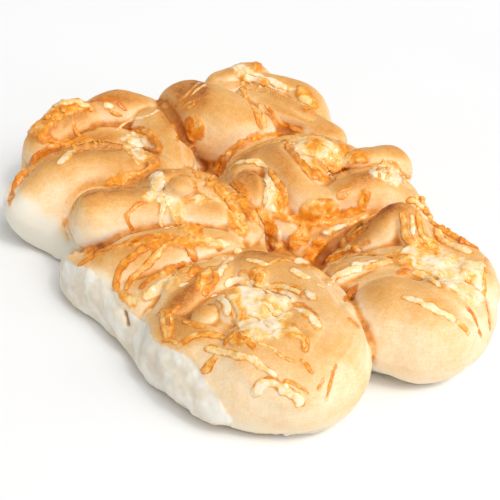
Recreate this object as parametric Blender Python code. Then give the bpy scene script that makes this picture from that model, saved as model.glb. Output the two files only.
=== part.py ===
"""A pull-apart batch of six cheese knots, baked against each other as one loaf.

The knots stand in two columns and three rows. Each is a low bun with a strand of dough
tied round and over it, and strips of melted cheese lie on top. The loaf stands on z = 0,
its longest side runs along Y, and its left side is torn, where it was pulled from more
knots. Metres, +Z up. The tables below are in millimetres.
"""
import math
import random

import bmesh
import bpy
import numpy as np
from mathutils import Vector
from mathutils.bvhtree import BVHTree

MM = 0.001
NODE_NAME = "cheese_knots"

# The batch: a grid of knots
COLUMN_PITCH = 80.0
ROW_PITCH = 83.0
BUN_RADIUS = 40.0
BUN_CENTRE_HEIGHT = 16.0
BUN_RISE = 24.0

# Each knot is measured from its own place in the grid. A strand is a row of
# (x, y, z of its middle, radius), joined by a smooth curve, with round ends.
KNOTS = {
    "front_left": {
        "grid": (0, 0),
        "shift": (-2.0, 3.0),
        "strands": {
            "ring": [(18, 29, 27, 17), (29, 10, 25, 19), (27, -16, 23, 20), (14, -31, 21, 21),
                     (1, -31, 21, 20), (-10, -17, 21, 18), (-21, 2, 22, 13)],
            "left_back": [(-22, 24, 22, 15), (-10, 32, 27, 15), (6, 36, 27, 15)],
            "middle": [(-1, 4, 30, 16), (6, -6, 30, 16)],
            "front_body": [(-4, -20, 19, 25), (12, -21, 19, 26)],
            "front_fold": [(-5, -24, 33, 11), (5, -29, 33, 12), (17, -27, 31, 11)],
            "bead": [(-17, 7, 36, 7), (-16, 6, 36, 7)],
            "left_fold": [(-29, 14, 22, 13), (-22, -4, 28, 11)],
        },
    },
    "front_right": {
        "grid": (1, 0),
        "shift": (-4.0, 3.0),
        "strands": {
            "front": [(-18, -18, 24, 21), (-7, -25, 22, 23), (5, -24, 20, 20)],
            "peak": [(-8, 40, 16, 12), (3, 33, 31, 11), (13, 28, 41, 9), (14, 16, 34, 10)],
            "right_ridge": [(18, 25, 33, 10), (25, 14, 28, 12), (28, -2, 25, 13), (24, -12, 24, 14)],
            "left": [(-25, 14, 24, 13), (-8, 10, 29, 11)],
        },
    },
    "middle_left": {
        "grid": (0, 1),
        "shift": (-2.0, 0.0),
        "strands": {
            "loaf": [(-26, 20, 32, 16), (-5, 11, 36, 14), (20, -5, 36, 13)],
            "crown": [(7, 19, 38, 14), (20, 10, 39, 13), (28, -8, 34, 12), (27, -18, 29, 12)],
            "button": [(7, 5, 50, 6), (9, 4, 50, 6)],
            "low": [(-32, -6, 18, 16), (-18, -12, 25, 17), (4, -20, 28, 15), (24, -26, 24, 13)],
            "low_front": [(-28, -30, 17, 14), (-16, -36, 20, 15), (6, -38, 20, 14)],
        },
    },
    "middle_right": {
        "grid": (1, 1),
        "shift": (-2.0, 4.0),
        "strands": {
            "crest": [(-24, 19, 30, 17), (-9, 23, 31, 17), (6, 19, 31, 17), (19, 12, 27, 16)],
            "band": [(-13, 15, 33, 17), (-11, 0, 33, 17), (-8, -13, 28, 16)],
            "tongue": [(-34, 12, 31, 12), (-34, 3, 34, 12), (-31, -6, 30, 12)],
            "knob": [(42, 6, 27, 13), (24, 2, 33, 12)],
            "right_body": [(20, -14, 17, 20), (25, 2, 16, 21)],
            "knob_foot": [(28, 4, 14, 15), (39, 5, 14, 14)],
            "right": [(2, -16, 32, 13), (16, -16, 33, 13), (28, -18, 28, 13), (33, -26, 18, 13)],
        },
    },
    "back_left": {
        "grid": (0, 2),
        "shift": (-4.0, 1.0),
        "strands": {
            "front": [(-34, -20, 21, 18), (-20, -16, 24, 20), (-2, -20, 26, 20), (14, -34, 24, 19)],
            "left_back": [(-20, 19, 29, 13), (-3, 25, 35, 13), (8, 26, 33, 11)],
            "back": [(8, 28, 33, 11), (23, 26, 36, 12), (38, 22, 30, 12)],
            "right": [(38, 7, 31, 13), (36, -18, 28, 14), (30, -34, 24, 14)],
        },
    },
    "back_right": {
        "grid": (1, 2),
        "shift": (-2.0, 3.0),
        "strands": {
            "front": [(-23, 11, 27, 19), (-16, -6, 32, 21), (-6, -22, 30, 19), (6, -32, 22, 16)],
            "back": [(2, 22, 34, 13), (16, 22, 35, 13)],
            "ridge": [(4, -2, 41, 9), (15, -24, 38, 10), (27, -43, 30, 10)],
            "right": [(18, 11, 32, 13), (31, -1, 26, 14), (32, -15, 22, 13), (25, -30, 22, 13)],
        },
    },
}

# Low dough that joins each knot to the knots beside, behind and diagonally across from it
SEAM_HEIGHT = 6.0
SEAM_RADIUS = 18.0
NEIGHBOURS = [(1, 0), (0, 1), (1, 1), (-1, 1)]
TORN_BED = [(-62, -76, 5, 17), (-67, -20, 5, 17), (-62, 40, 5, 17), (-70, 85, 5, 17)]

# The torn side: upright faces whose foot follows (x, y) and whose top is the last number
TORN_WALLS = {
    "torn_front": [(-72, 35, 10), (-84, 31, 13), (-91, 18, 17), (-91, 6, 20), (-87, -8, 20),
                   (-84, -25, 18), (-82, -46, 15), (-83, -62, 19), (-77, -74, 22), (-73, -88, 18),
                   (-67, -101, 12), (-60, -111, 7),
                   (-48, -118, 4)],
    "torn_back": [(-68, 112, 6), (-82, 103, 7), (-90, 88, 12), (-92, 74, 18), (-86, 54, 19),
                  (-78, 38, 16), (-66, 31, 11)],
}
TORN_INSET = 34.0
TORN_LEAN = 1.5

# How the strands are meshed
CURVE_STEPS = 8
TUBE_SIDES = 28
CAP_RINGS = 7
DOUGH_VOXEL = 1.6 * MM
CREASE_PASSES = 8
DOUGH_TRIANGLES = 6000
FOOT_SNAP = 0.6 * MM

# Cheese strips
STRIPS_PER_KNOT = 6
STRIP_LENGTH = (16.0, 34.0)
STRIP_WIDTH = (3.6, 5.4)
STRIP_THICKNESS = 2.6
STRIP_SPREAD = 24.0
STRIP_RINGS = 6
STRIP_SIDES = 5
STRIP_SINK = 0.35
STRIP_SEED = 41


def clear_scene():
    for old in list(bpy.data.objects):
        bpy.data.objects.remove(old)


def knot_centre(knot):
    """The middle of a knot, from its place in the grid."""
    column, row = knot["grid"]
    x = (column - 0.5) * COLUMN_PITCH + knot["shift"][0]
    y = (row - 1) * ROW_PITCH + knot["shift"][1]
    return x, y


def smooth_curve(points, steps):
    """Points along a Catmull-Rom curve, each with its radius as a fourth value."""
    points = np.asarray(points, float)
    ends = np.vstack([2 * points[0] - points[1], points, 2 * points[-1] - points[-2]])
    curve = []
    for i in range(len(points) - 1):
        a, b, c, d = ends[i:i + 4]
        for t in np.linspace(0, 1, steps, endpoint=False):
            curve.append(0.5 * (2 * b + (c - a) * t + (2 * a - 5 * b + 4 * c - d) * t ** 2
                                + (3 * b - a - 3 * c + d) * t ** 3))
    curve.append(points[-1])
    return np.array(curve)


def cross_frame(direction):
    """Unit vectors to the side of a direction and above it."""
    side = np.cross(direction, (0, 0, 1))
    side /= np.linalg.norm(side)
    return side, np.cross(side, direction)


def skin_rings(bm, rings, first_tip, last_tip):
    """Close a row of vertex rings with faces, and each end with a fan to its tip."""
    count = len(rings[0])
    for near, far in zip(rings, rings[1:]):
        for j in range(count):
            k = (j + 1) % count
            bm.faces.new((near[j], near[k], far[k], far[j]))
    for j in range(count):
        k = (j + 1) % count
        bm.faces.new((first_tip, rings[0][k], rings[0][j]))
        bm.faces.new((last_tip, rings[-1][j], rings[-1][k]))


def add_strand(bm, points):
    """A round strand of dough with hemispherical ends, flat where it meets the tray."""
    curve = smooth_curve(points, CURVE_STEPS) * MM
    middle, radius = curve[:, :3], curve[:, 3]
    along = np.gradient(middle, axis=0)
    along /= np.linalg.norm(along, axis=1)[:, None]
    turn = np.linspace(0, 2 * math.pi, TUBE_SIDES, endpoint=False)[:, None]

    def ring(centre, direction, size):
        side, up = cross_frame(direction)
        places = centre + size * (np.cos(turn) * side + np.sin(turn) * up)
        return [bm.verts.new((x, y, max(z, 0.0))) for x, y, z in places]

    rings = []
    for step in range(1, CAP_RINGS):
        angle = math.pi / 2 * (1 - step / CAP_RINGS)
        back = middle[0] - along[0] * radius[0] * math.sin(angle)
        rings.append(ring(back, along[0], radius[0] * math.cos(angle)))
    for centre, direction, size in zip(middle, along, radius):
        rings.append(ring(centre, direction, size))
    for step in range(1, CAP_RINGS):
        angle = math.pi / 2 * step / CAP_RINGS
        front = middle[-1] + along[-1] * radius[-1] * math.sin(angle)
        rings.append(ring(front, along[-1], radius[-1] * math.cos(angle)))
    tips = []
    for centre in (middle[0] - along[0] * radius[0], middle[-1] + along[-1] * radius[-1]):
        tips.append(bm.verts.new((centre[0], centre[1], max(centre[2], 0.0))))
    skin_rings(bm, rings, *tips)


def add_bun(bm, centre):
    """The low dome under a knot."""
    made = bmesh.ops.create_uvsphere(bm, u_segments=48, v_segments=24, radius=1)
    for vert in made["verts"]:
        vert.co.x = (centre[0] + vert.co.x * BUN_RADIUS) * MM
        vert.co.y = (centre[1] + vert.co.y * BUN_RADIUS) * MM
        vert.co.z = max(0.0, (BUN_CENTRE_HEIGHT + vert.co.z * BUN_RISE) * MM)


def add_seams(bm):
    """Low strands between neighbouring knots, and one along the torn side."""
    centres = {knot["grid"]: knot_centre(knot) for knot in KNOTS.values()}
    for (column, row), start in centres.items():
        for across, behind in NEIGHBOURS:
            end = centres.get((column + across, row + behind))
            if end:
                add_strand(bm, [(x, y, SEAM_HEIGHT, SEAM_RADIUS) for x, y in (start, end)])
    add_strand(bm, TORN_BED)


def add_torn_wall(bm, foot):
    """A slab behind an upright torn face, from its foot line to well inside the loaf."""
    curve = smooth_curve(foot, CURVE_STEPS)
    along = np.gradient(curve[:, :2], axis=0)
    along /= np.linalg.norm(along, axis=1)[:, None]
    inward = np.stack([-along[:, 1], along[:, 0]], 1)
    rings = []
    for (x, y, top), (ix, iy) in zip(curve, inward):
        corners = [(x, y, 0), (x + ix * TORN_LEAN, y + iy * TORN_LEAN, top),
                   (x + ix * TORN_INSET, y + iy * TORN_INSET, top), (x + ix * TORN_INSET, y + iy * TORN_INSET, 0)]
        rings.append([bm.verts.new(Vector(corner) * MM) for corner in corners])
    for near, far in zip(rings, rings[1:]):
        for j in range(4):
            k = (j + 1) % 4
            bm.faces.new((near[j], near[k], far[k], far[j]))
    bm.faces.new(rings[0][::-1])
    bm.faces.new(rings[-1])


def mesh_object(name, bm):
    mesh = bpy.data.meshes.new(name)
    bmesh.ops.recalc_face_normals(bm, faces=bm.faces)
    bm.to_mesh(mesh)
    bm.free()
    body = bpy.data.objects.new(name, mesh)
    bpy.context.collection.objects.link(body)
    return body


def apply_modifiers(body):
    """Keep what the modifiers make of a mesh, and drop the modifiers."""
    graph = bpy.context.evaluated_depsgraph_get()
    made = bpy.data.meshes.new_from_object(body.evaluated_get(graph))
    body.modifiers.clear()
    body.data = made


def keep_outer_skin(body):
    """Fill sealed hollows and drop loose scraps, by keeping only the largest skin."""
    bm = bmesh.new()
    bm.from_mesh(body.data)
    unseen = set(bm.verts)
    skins = []
    while unseen:
        first = unseen.pop()
        skin = {first}
        edge_of_skin = [first]
        while edge_of_skin:
            vert = edge_of_skin.pop()
            for edge in vert.link_edges:
                other = edge.other_vert(vert)
                if other in unseen:
                    unseen.discard(other)
                    skin.add(other)
                    edge_of_skin.append(other)
        skins.append(skin)
    outer = max(skins, key=len)
    scraps = [vert for skin in skins if skin is not outer for vert in skin]
    bmesh.ops.delete(bm, geom=scraps, context="VERTS")
    bm.to_mesh(body.data)
    bm.free()


def make_dough():
    """Every bun, strand and torn wall as one closed skin with soft creases."""
    bm = bmesh.new()
    for knot in KNOTS.values():
        x, y = knot_centre(knot)
        add_bun(bm, (x, y))
        for points in knot["strands"].values():
            add_strand(bm, [(px + x, py + y, pz, radius) for px, py, pz, radius in points])
    add_seams(bm)
    for foot in TORN_WALLS.values():
        add_torn_wall(bm, foot)
    dough = mesh_object(NODE_NAME, bm)
    remesh = dough.modifiers.new("skin", "REMESH")
    remesh.mode = "VOXEL"
    remesh.voxel_size = DOUGH_VOXEL
    soften = dough.modifiers.new("soft_creases", "SMOOTH")
    soften.factor = 0.5
    soften.iterations = CREASE_PASSES
    apply_modifiers(dough)
    keep_outer_skin(dough)
    return dough


def thin_out(body, triangles):
    """Collapse small faces until the mesh has about this many triangles."""
    body.data.calc_loop_triangles()
    decimate = body.modifiers.new("thin_out", "DECIMATE")
    decimate.ratio = min(1.0, triangles / len(body.data.loop_triangles))
    decimate.use_collapse_triangulate = True
    apply_modifiers(body)


def flatten_foot(body):
    """Lay every point near the tray exactly on it, so that the loaf rests flat."""
    for vert in body.data.vertices:
        if vert.co.z < FOOT_SNAP:
            vert.co.z = 0.0


def drape(surface, x, y):
    """The point of the dough straight below a place, and the surface's normal there."""
    spot, normal, _, _ = surface.ray_cast(Vector((x, y, 0.2)), Vector((0, 0, -1)))
    return spot, normal


def strip_route(surface, start, heading, bend, length):
    """A gently curving route over the dough, as pairs of place and normal."""
    x, y = start
    route = []
    for _ in range(STRIP_RINGS):
        spot, normal = drape(surface, x, y)
        if spot is None:
            break
        route.append((spot, normal))
        x += math.cos(heading) * length / (STRIP_RINGS - 1)
        y += math.sin(heading) * length / (STRIP_RINGS - 1)
        heading += bend
    return route


def make_strip(name, route, width, thickness):
    """A flat strip of melted cheese, half sunk in the dough that it lies on."""
    bm = bmesh.new()
    places = [spot for spot, _ in route]
    rings = []
    for i, (spot, normal) in enumerate(route):
        along = (places[min(i + 1, len(places) - 1)] - places[max(i - 1, 0)]).normalized()
        side = along.cross(normal).normalized()
        up = side.cross(along)
        taper = math.sin(math.pi * (i + 1) / (len(route) + 1)) ** 0.5
        ring = []
        for j in range(STRIP_SIDES):
            turn = 2 * math.pi * j / STRIP_SIDES
            lift = math.sin(turn) * thickness / 2 + thickness * STRIP_SINK / 2
            ring.append(bm.verts.new(spot + side * math.cos(turn) * width * taper / 2 + up * lift))
        rings.append(ring)
    first = bm.verts.new(places[0] - (places[1] - places[0]) * 0.3)
    last = bm.verts.new(places[-1] + (places[-1] - places[-2]) * 0.3)
    skin_rings(bm, rings, first, last)
    bmesh.ops.triangulate(bm, faces=bm.faces)
    return mesh_object(name, bm)


def make_strips(dough):
    """Strips scattered round the middle of each knot."""
    draw = random.Random(STRIP_SEED)
    surface = BVHTree.FromObject(dough, bpy.context.evaluated_depsgraph_get())
    strips = []
    for name, knot in KNOTS.items():
        x, y = knot_centre(knot)
        for count in range(STRIPS_PER_KNOT):
            place = 2 * math.pi * (count + draw.random()) / STRIPS_PER_KNOT
            reach = STRIP_SPREAD * math.sqrt(draw.uniform(0.05, 1.0))
            start = ((x + reach * math.cos(place)) * MM, (y + reach * math.sin(place)) * MM)
            heading = place + math.pi / 2 + draw.uniform(-0.7, 0.7)
            route = strip_route(surface, start, heading, draw.uniform(-0.16, 0.22),
                                draw.uniform(*STRIP_LENGTH) * MM)
            strips.append(make_strip("strip_%s_%d" % (name, count), route,
                                     draw.uniform(*STRIP_WIDTH) * MM, STRIP_THICKNESS * MM))
    return strips


def fuse(body, pieces):
    """Join pieces to a body by one union, and remove them."""
    group = bpy.data.collections.new("fused_pieces")
    for piece in pieces:
        group.objects.link(piece)
    union = body.modifiers.new("fuse", "BOOLEAN")
    union.operation = "UNION"
    union.operand_type = "COLLECTION"
    union.collection = group
    union.solver = "MANIFOLD"
    apply_modifiers(body)
    for piece in pieces:
        bpy.data.objects.remove(piece)
    bpy.data.collections.remove(group)


def centre_on_origin(body):
    """Move the loaf so that the middle of its foot box is the origin."""
    corners = np.array([vert.co for vert in body.data.vertices])
    middle = (corners.min(axis=0) + corners.max(axis=0)) / 2
    for vert in body.data.vertices:
        vert.co.x -= middle[0]
        vert.co.y -= middle[1]


def baked_crust():
    """Pale golden crust."""
    material = bpy.data.materials.new("baked_crust")
    material.use_nodes = True
    shader = material.node_tree.nodes["Principled BSDF"]
    shader.inputs["Base Color"].default_value = (0.72, 0.44, 0.19, 1)
    shader.inputs["Roughness"].default_value = 0.55
    shader.inputs["Metallic"].default_value = 0.0
    return material


def main():
    clear_scene()
    loaf = make_dough()
    thin_out(loaf, DOUGH_TRIANGLES)
    flatten_foot(loaf)
    fuse(loaf, make_strips(loaf))
    keep_outer_skin(loaf)
    centre_on_origin(loaf)
    loaf.data.materials.clear()
    loaf.data.materials.append(baked_crust())
    loaf.data.shade_smooth()


main()
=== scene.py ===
"""Looks of a pull-apart batch of six cheese knots: baked dough, melted cheese and a torn side.

The dough is meshed again from strands like the solid's, finer and with its relief. Strips,
ridges and patches of melted cheese are laid on it where the camera sees them, and strewn by
a seeded draw on the sides that it doesn't see. Metres, +Z up. The tables of strands are in
millimetres, and the tables of cheese are in pixels of the 500 x 500 view.
"""
import math
import random

import bmesh
import bpy
import numpy as np
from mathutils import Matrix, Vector, noise
from mathutils.bvhtree import BVHTree

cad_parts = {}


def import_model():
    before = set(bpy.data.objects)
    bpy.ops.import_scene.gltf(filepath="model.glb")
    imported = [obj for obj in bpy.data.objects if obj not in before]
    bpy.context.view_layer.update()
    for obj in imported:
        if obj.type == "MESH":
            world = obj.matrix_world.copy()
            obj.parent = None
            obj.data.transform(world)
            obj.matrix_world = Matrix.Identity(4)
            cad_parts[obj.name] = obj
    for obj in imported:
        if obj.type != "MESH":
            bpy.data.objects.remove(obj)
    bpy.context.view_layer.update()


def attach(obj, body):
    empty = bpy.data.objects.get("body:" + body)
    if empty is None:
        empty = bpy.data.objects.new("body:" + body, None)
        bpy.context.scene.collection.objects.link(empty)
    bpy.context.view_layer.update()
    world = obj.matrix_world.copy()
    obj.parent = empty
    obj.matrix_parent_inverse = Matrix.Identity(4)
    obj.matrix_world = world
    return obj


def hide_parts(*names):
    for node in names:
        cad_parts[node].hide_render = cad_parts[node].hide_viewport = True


MM = 0.001
NODE_NAME = "cheese_knots"

# The camera, at the photograph's angle and distance
AZIMUTH = math.radians(-27.0)
ELEVATION = math.radians(33.2)
DISTANCE = 0.70
AIM = Vector((-0.00954, -0.01618, 0.025))
VIEW_PIXELS = 500
FOCAL_PIXELS = 1535
SENSOR_MM = 36.0

# The middle of the loaf's box, in the frame that the strands are given in
LOAF_MIDDLE = (-1.46, -3.82)

# The batch: a grid of knots
COLUMN_PITCH = 80.0
ROW_PITCH = 83.0
BUN_RADIUS = 40.0
BUN_CENTRE_HEIGHT = 16.0
BUN_RISE = 24.0

# Each knot is measured from its own place in the grid. A strand is a row of
# (x, y, z of its middle, radius), joined by a smooth curve, with round ends.
KNOTS = {
    "front_left": {
        "grid": (0, 0),
        "shift": (-2.0, 3.0),
        "strands": {
            "ring": [(18, 29, 27, 17), (29, 10, 25, 19), (27, -16, 23, 20), (14, -31, 21, 21),
                     (1, -31, 21, 20), (-10, -17, 21, 18), (-21, 2, 22, 13)],
            "left_back": [(-22, 24, 22, 15), (-10, 32, 27, 15), (6, 36, 27, 15)],
            "middle": [(-1, 4, 30, 16), (6, -6, 30, 16)],
            "front_body": [(-4, -20, 19, 25), (12, -21, 19, 26)],
            "front_fold": [(-5, -24, 33, 11), (5, -29, 33, 12), (17, -27, 31, 11)],
            "bead": [(-17, 7, 36, 6), (-16, 6, 36, 6)],
            "left_fold": [(-29, 14, 22, 13), (-22, -4, 28, 11)],
        },
    },
    "front_right": {
        "grid": (1, 0),
        "shift": (-4.0, 3.0),
        "strands": {
            "front": [(-18, -18, 24, 21), (-7, -25, 22, 23), (5, -24, 20, 20)],
            "peak": [(-8, 40, 16, 12), (3, 31, 29, 13), (13, 28, 43, 7.5), (14, 16, 34, 9)],
            "right_ridge": [(18, 25, 33, 10), (25, 14, 28, 12), (28, -2, 25, 13), (24, -12, 24, 14)],
            "left": [(-25, 14, 24, 13), (-8, 10, 29, 11)],
        },
    },
    "middle_left": {
        "grid": (0, 1),
        "shift": (-2.0, 0.0),
        "strands": {
            "loaf": [(-26, 20, 35.5, 16), (-6, 11, 36, 14), (20, -5, 36, 13)],
            "crown": [(7, 19, 38, 14), (20, 10, 39, 13), (28, -8, 34, 12), (27, -18, 29, 12)],
            "button": [(7, 5, 50, 6), (9, 4, 50, 6)],
            "low": [(-32, -6, 18, 16), (-18, -12, 25, 17), (4, -20, 28, 15), (24, -26, 24, 13)],
            "low_front": [(-28, -30, 17, 14), (-16, -36, 20, 15), (6, -38, 20, 14)],
        },
    },
    "middle_right": {
        "grid": (1, 1),
        "shift": (-2.0, 4.0),
        "strands": {
            "crest": [(-24, 19, 30, 17), (-9, 23, 31, 17), (6, 19, 31, 17), (19, 12, 27, 16)],
            "band": [(-13, 15, 33, 17), (-11, 0, 33, 17), (-8, -13, 28, 16)],
            "tongue": [(-34, 12, 31, 12), (-34, 3, 34, 12), (-31, -6, 30, 12)],
            "knob": [(42, 6, 27, 13), (24, 2, 33, 12)],
            "right_body": [(20, -14, 17, 20), (25, 2, 16, 21)],
            "knob_foot": [(28, 4, 14, 15), (39, 5, 14, 14)],
            "right": [(2, -16, 32, 13), (16, -16, 33, 13), (28, -18, 28, 13), (33, -26, 18, 13)],
        },
    },
    "back_left": {
        "grid": (0, 2),
        "shift": (-4.0, 1.0),
        "strands": {
            "front": [(-37, -15, 20, 18), (-21, -15, 24, 20), (-3, -20, 26, 20), (13, -34, 24, 19)],
            "left_back": [(-20, 19, 29, 13), (-3, 25, 35, 13), (8, 26, 33, 11)],
            "back": [(8, 28, 33, 11), (23, 26, 36, 12), (38, 22, 30, 12)],
            "right": [(35, 9, 31, 12), (32, -18, 28, 13), (27, -34, 24, 13)],
        },
    },
    "back_right": {
        "grid": (1, 2),
        "shift": (-2.0, 3.0),
        "strands": {
            "front": [(-23, 13, 31, 19), (-18, -6, 32, 21), (-11, -22, 29, 20), (-1, -33, 21, 19)],
            "back": [(2, 22, 34, 13), (16, 22, 35, 13)],
            "ridge": [(4, -2, 41, 9), (15, -24, 38, 10), (27, -43, 30, 10)],
            "right": [(18, 12, 33, 13), (30, 1, 30, 14), (31, -10, 28, 14), (25, -30, 22, 13)],
        },
    },
}

# Low dough that joins each knot to the knots beside, behind and diagonally across from it
SEAM_HEIGHT = 6.0
SEAM_RADIUS = 18.0
NEIGHBOURS = [(1, 0), (0, 1), (1, 1), (-1, 1)]
TORN_BED = [(-62, -76, 5, 17), (-67, -20, 5, 17), (-62, 40, 5, 17), (-70, 85, 5, 17)]

# The torn side: upright faces whose foot follows (x, y) and whose top is the last number
TORN_WALLS = {
    "torn_front": [(-72, 35, 12), (-84, 31, 17), (-91, 18, 24), (-91, 6, 28), (-87, -8, 29),
                   (-84, -25, 25), (-82, -46, 20), (-83, -62, 25), (-77, -74, 27), (-73, -88, 25),
                   (-67, -101, 20), (-60, -111, 12), (-48, -118, 5)],
    "torn_back": [(-68, 112, 6), (-82, 103, 7), (-90, 88, 12), (-92, 74, 18), (-86, 54, 19),
                  (-78, 38, 16), (-66, 31, 11)],
}
TORN_INSET = 34.0
TORN_LEAN = 1.5

# How far round the torn walls, in millimetres, and in which pixels the dough is smoothed
TORN_SOFT_REACH = (6.0, 16.0)
TORN_SOFT_ROUNDS = 220
SMOOTHED = [
    [(196, 352), (226, 372), (268, 410), (300, 418), (330, 400), (344, 372), (352, 400), (330, 428),
        (280, 436), (236, 436), (226, 410), (206, 380)],
]
SMOOTHED_REACH = (-1, 6)
SMOOTHED_ROUNDS = 260

# How the dough is meshed
CURVE_STEPS = 8
TUBE_SIDES = 28
CAP_RINGS = 7
BUN_SEGMENTS = (48, 24)
DOUGH_VOXEL = 0.85 * MM
CREASE_SOFTENING = 0.5
CREASE_PASSES = 5
BREAD_TRIANGLES = 190000

# How folds and creases are pressed in: the fall of a groove's depth with distance, rounds of
# averaging, and the height over the tray, in millimetres, at which they start and reach their depth
GROOVE_FALL = 1.4
CREASE_DEEPENING = 1.1
CREASE_ROUNDS = 40
DEEPEST_CREASE = 3
DEPTH_ROUNDS = 2
PRESS_ROUNDS = 25
PRESS_HEIGHT = (1, 6)

# What counts as the torn wall: how far it faces outward, and how many millimetres behind its
# foot line, above its top and past its ends
WALL_FACING = (0.35, 0.75)
WALL_DEPTH = (2.5, 4.5)
WALL_ABOVE = (-1.0, 1.5)
WALL_PAST = (3, 5)

# Rounds of averaging behind each measure of the dough's relief
RELIEF_ROUNDS = 50
WIDE_RELIEF_ROUNDS = 180
VALLEY_ROUNDS = 110
VALLEY_SOFTENING = 4
RAW_ROUNDS = 40
MELT_ROUNDS = 1
TONE_ROUNDS = 4
BROWNED_AND_SHADED_ROUNDS = 12

# Relief laid on the dough, as rows of (height in mm, size in mm, seed of its noise), and how
# far apart in the noise neighbouring seeds are
CRUST_RIPPLES = [(0.22, 11, 2), (0.05, 3, 8)]
FILM_RIPPLES = [(0.5, 6, 1), (0.4, 11, 9), (0.3, 2.6, 7)]
CRUMB_RIPPLES = [(0.9, 15, 3), (0.5, 6, 4), (0.15, 2.6, 9)]
FILM_EDGE_RIPPLES = [(0.4, 4, 6)]
PATCH_EDGE_RIPPLES = [(2.0, 7, 11)]
RIPPLES_APART = (7.3, 3.1, 5.7)

# How thick the film of cheese is, how it fills creases, and the swelling under strips
FILM_THICKNESS = 0.5
FILM_FILL = 0.5
FILM_EDGE = (-0.8, 0.6)
STRIP_SWELLING = 0.22
STRIP_SWELLING_EDGE = (-1.2, 1.2)
RELIEF_HEIGHT = (0.5, 3.0)

# Where the torn face and the patches of browned dough and painted shade fade, in millimetres past their
# edges
TORN_FADE = (-1.2, 1.4)
CRUST_END_FADE = (-0.4, 0.6)
BROWNED_AND_SHADED_FADE = (-3.0, 5.0)

# How far the dough bakes: everywhere, more where it faces up, high up and on crests, and less
# low down and where it is raw
BAKE_ALL = 0.17
BAKE_FACING_UP = (0.27, (0.45, 1.0))
BAKE_HIGH_UP = (0.10, (24, 52))
BAKE_ON_CRESTS = 0.14
CREST_RELIEF = 1.5
CREST_RANGE = (-0.6, 1)
BAKE_LOW_DOWN = (-0.17, (3, 18))
RAW_PALENESS = 0.8
# How strongly browned dough, and painted shade in crevices and on the back knots, count
BROWNED_AND_SHADED_WEIGHT = 0.65
GRAIN_SHIFT = 61.0

# The range of each measure that the material reads, in millimetres
CREASE_RANGE = (0, 4)
MELT_RANGE = (-4, 8)
STRIP_GAP_RANGE = (-3, 8)

# How pixels of the view are laid on the dough
MM_PER_PIXEL = 0.456
PIXEL_STEPS = 10
RING_STEPS = 5
ROUTE_STEP = 0.9 * MM
ROUTE_JUMP = 5.0 * MM
ROUTE_LEAST = 3
BEHIND_REACH = 4.0 * MM
HIDDEN_REACH = 3.0 * MM
LINE_MARGIN = 20
FAR = 99.0
CHUNK = 4000

# The strips' cross-section, as shares of their width or in metres
STRIP_SMOOTHING = 3
STRIP_SIDES = 9
STRIP_RISE = 0.14
SHRED_RISE = 0.42
STRIP_DOME = 0.65
STRIP_TIP = 0.12
TIP_LENGTH = 0.8
STRIP_SINK = 0.08 * MM
STRIP_ROOT = 0.9 * MM
ROOT_SPOTS = (-0.7, 0.7)

# How uneven the strips are, as (share of the measure, length of the waves in mm, seed)
WIDTH_WAVES = [(0.6, 7.0, 0), (0.25, 3.0, 31)]
RISE_WAVES = [(0.7, 5.0, 7)]
SWAY_WAVES = [(0.6, 5.0, 13)]
EDGE_WAVES = [(0.5, 3.0, 19)]
DOME_WAVES = [(0.9, 2.2, 23)]
EDGE_APART = 3.0
DOME_APART = 2
STRIP_APART = 1.9

# Strips and patches strewn where the camera sees nothing: how far from each knot's middle, how
# many tries, and the ranges of what is drawn, in millimetres and radians
STREWN_SPREAD = 38 * MM
STRIP_TRIES = 60
STRIP_TURNS = (-0.9, 0.9)
STRIP_BENDS = (-0.05, 0.05)
STRIP_LENGTHS = (12, 34)
STRIP_BROWNS = (0.05, 0.75)
STRIP_WIDTHS = (2.0, 3.6)
STREWN_LEAST = 6
PATCH_TRIES = 30
PATCH_BROWNS = (0.15, 0.75)
PATCH_RADII = (1.5, 6.5)
PATCH_SPOTS = [(0, 0), (1.3, 0), (-1.3, 0), (0, 1.3), (0, -1.3)]
DROP_HEIGHT = 0.2
STEEPEST = 0.1

# How the lumps of a heap differ: spacing of their places and their bend in pixels, and shares
HEAP_SPACING = 1.5
LUMP_LENGTHS = (0.6, 1.4)
LUMP_BENDS = (-1.5, 1.5)
LUMP_BROWNS = (-0.15, 0.4)
LUMP_WIDTHS = (0.75, 1.25)

# Seeds of the draws
HEAP_SEED = 7
STRIP_SEED = 11
PATCH_SEED = 12

# The torn face, and the crust at its right end, in pixels
TORN_FACE = [(62, 258), (76, 266), (90, 271), (100, 279), (112, 291), (119, 305), (128, 312), (140, 320),
    (148, 326), (155, 343), (174, 350), (193, 362), (207, 383), (220, 400), (228, 419), (231, 434),
    (215, 440), (182, 420), (150, 402), (128, 385), (110, 350), (80, 325), (55, 300), (50, 260)]
CRUST_END = [(234, 440), (232, 424), (240, 412), (262, 415), (275, 430), (262, 446)]

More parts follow.
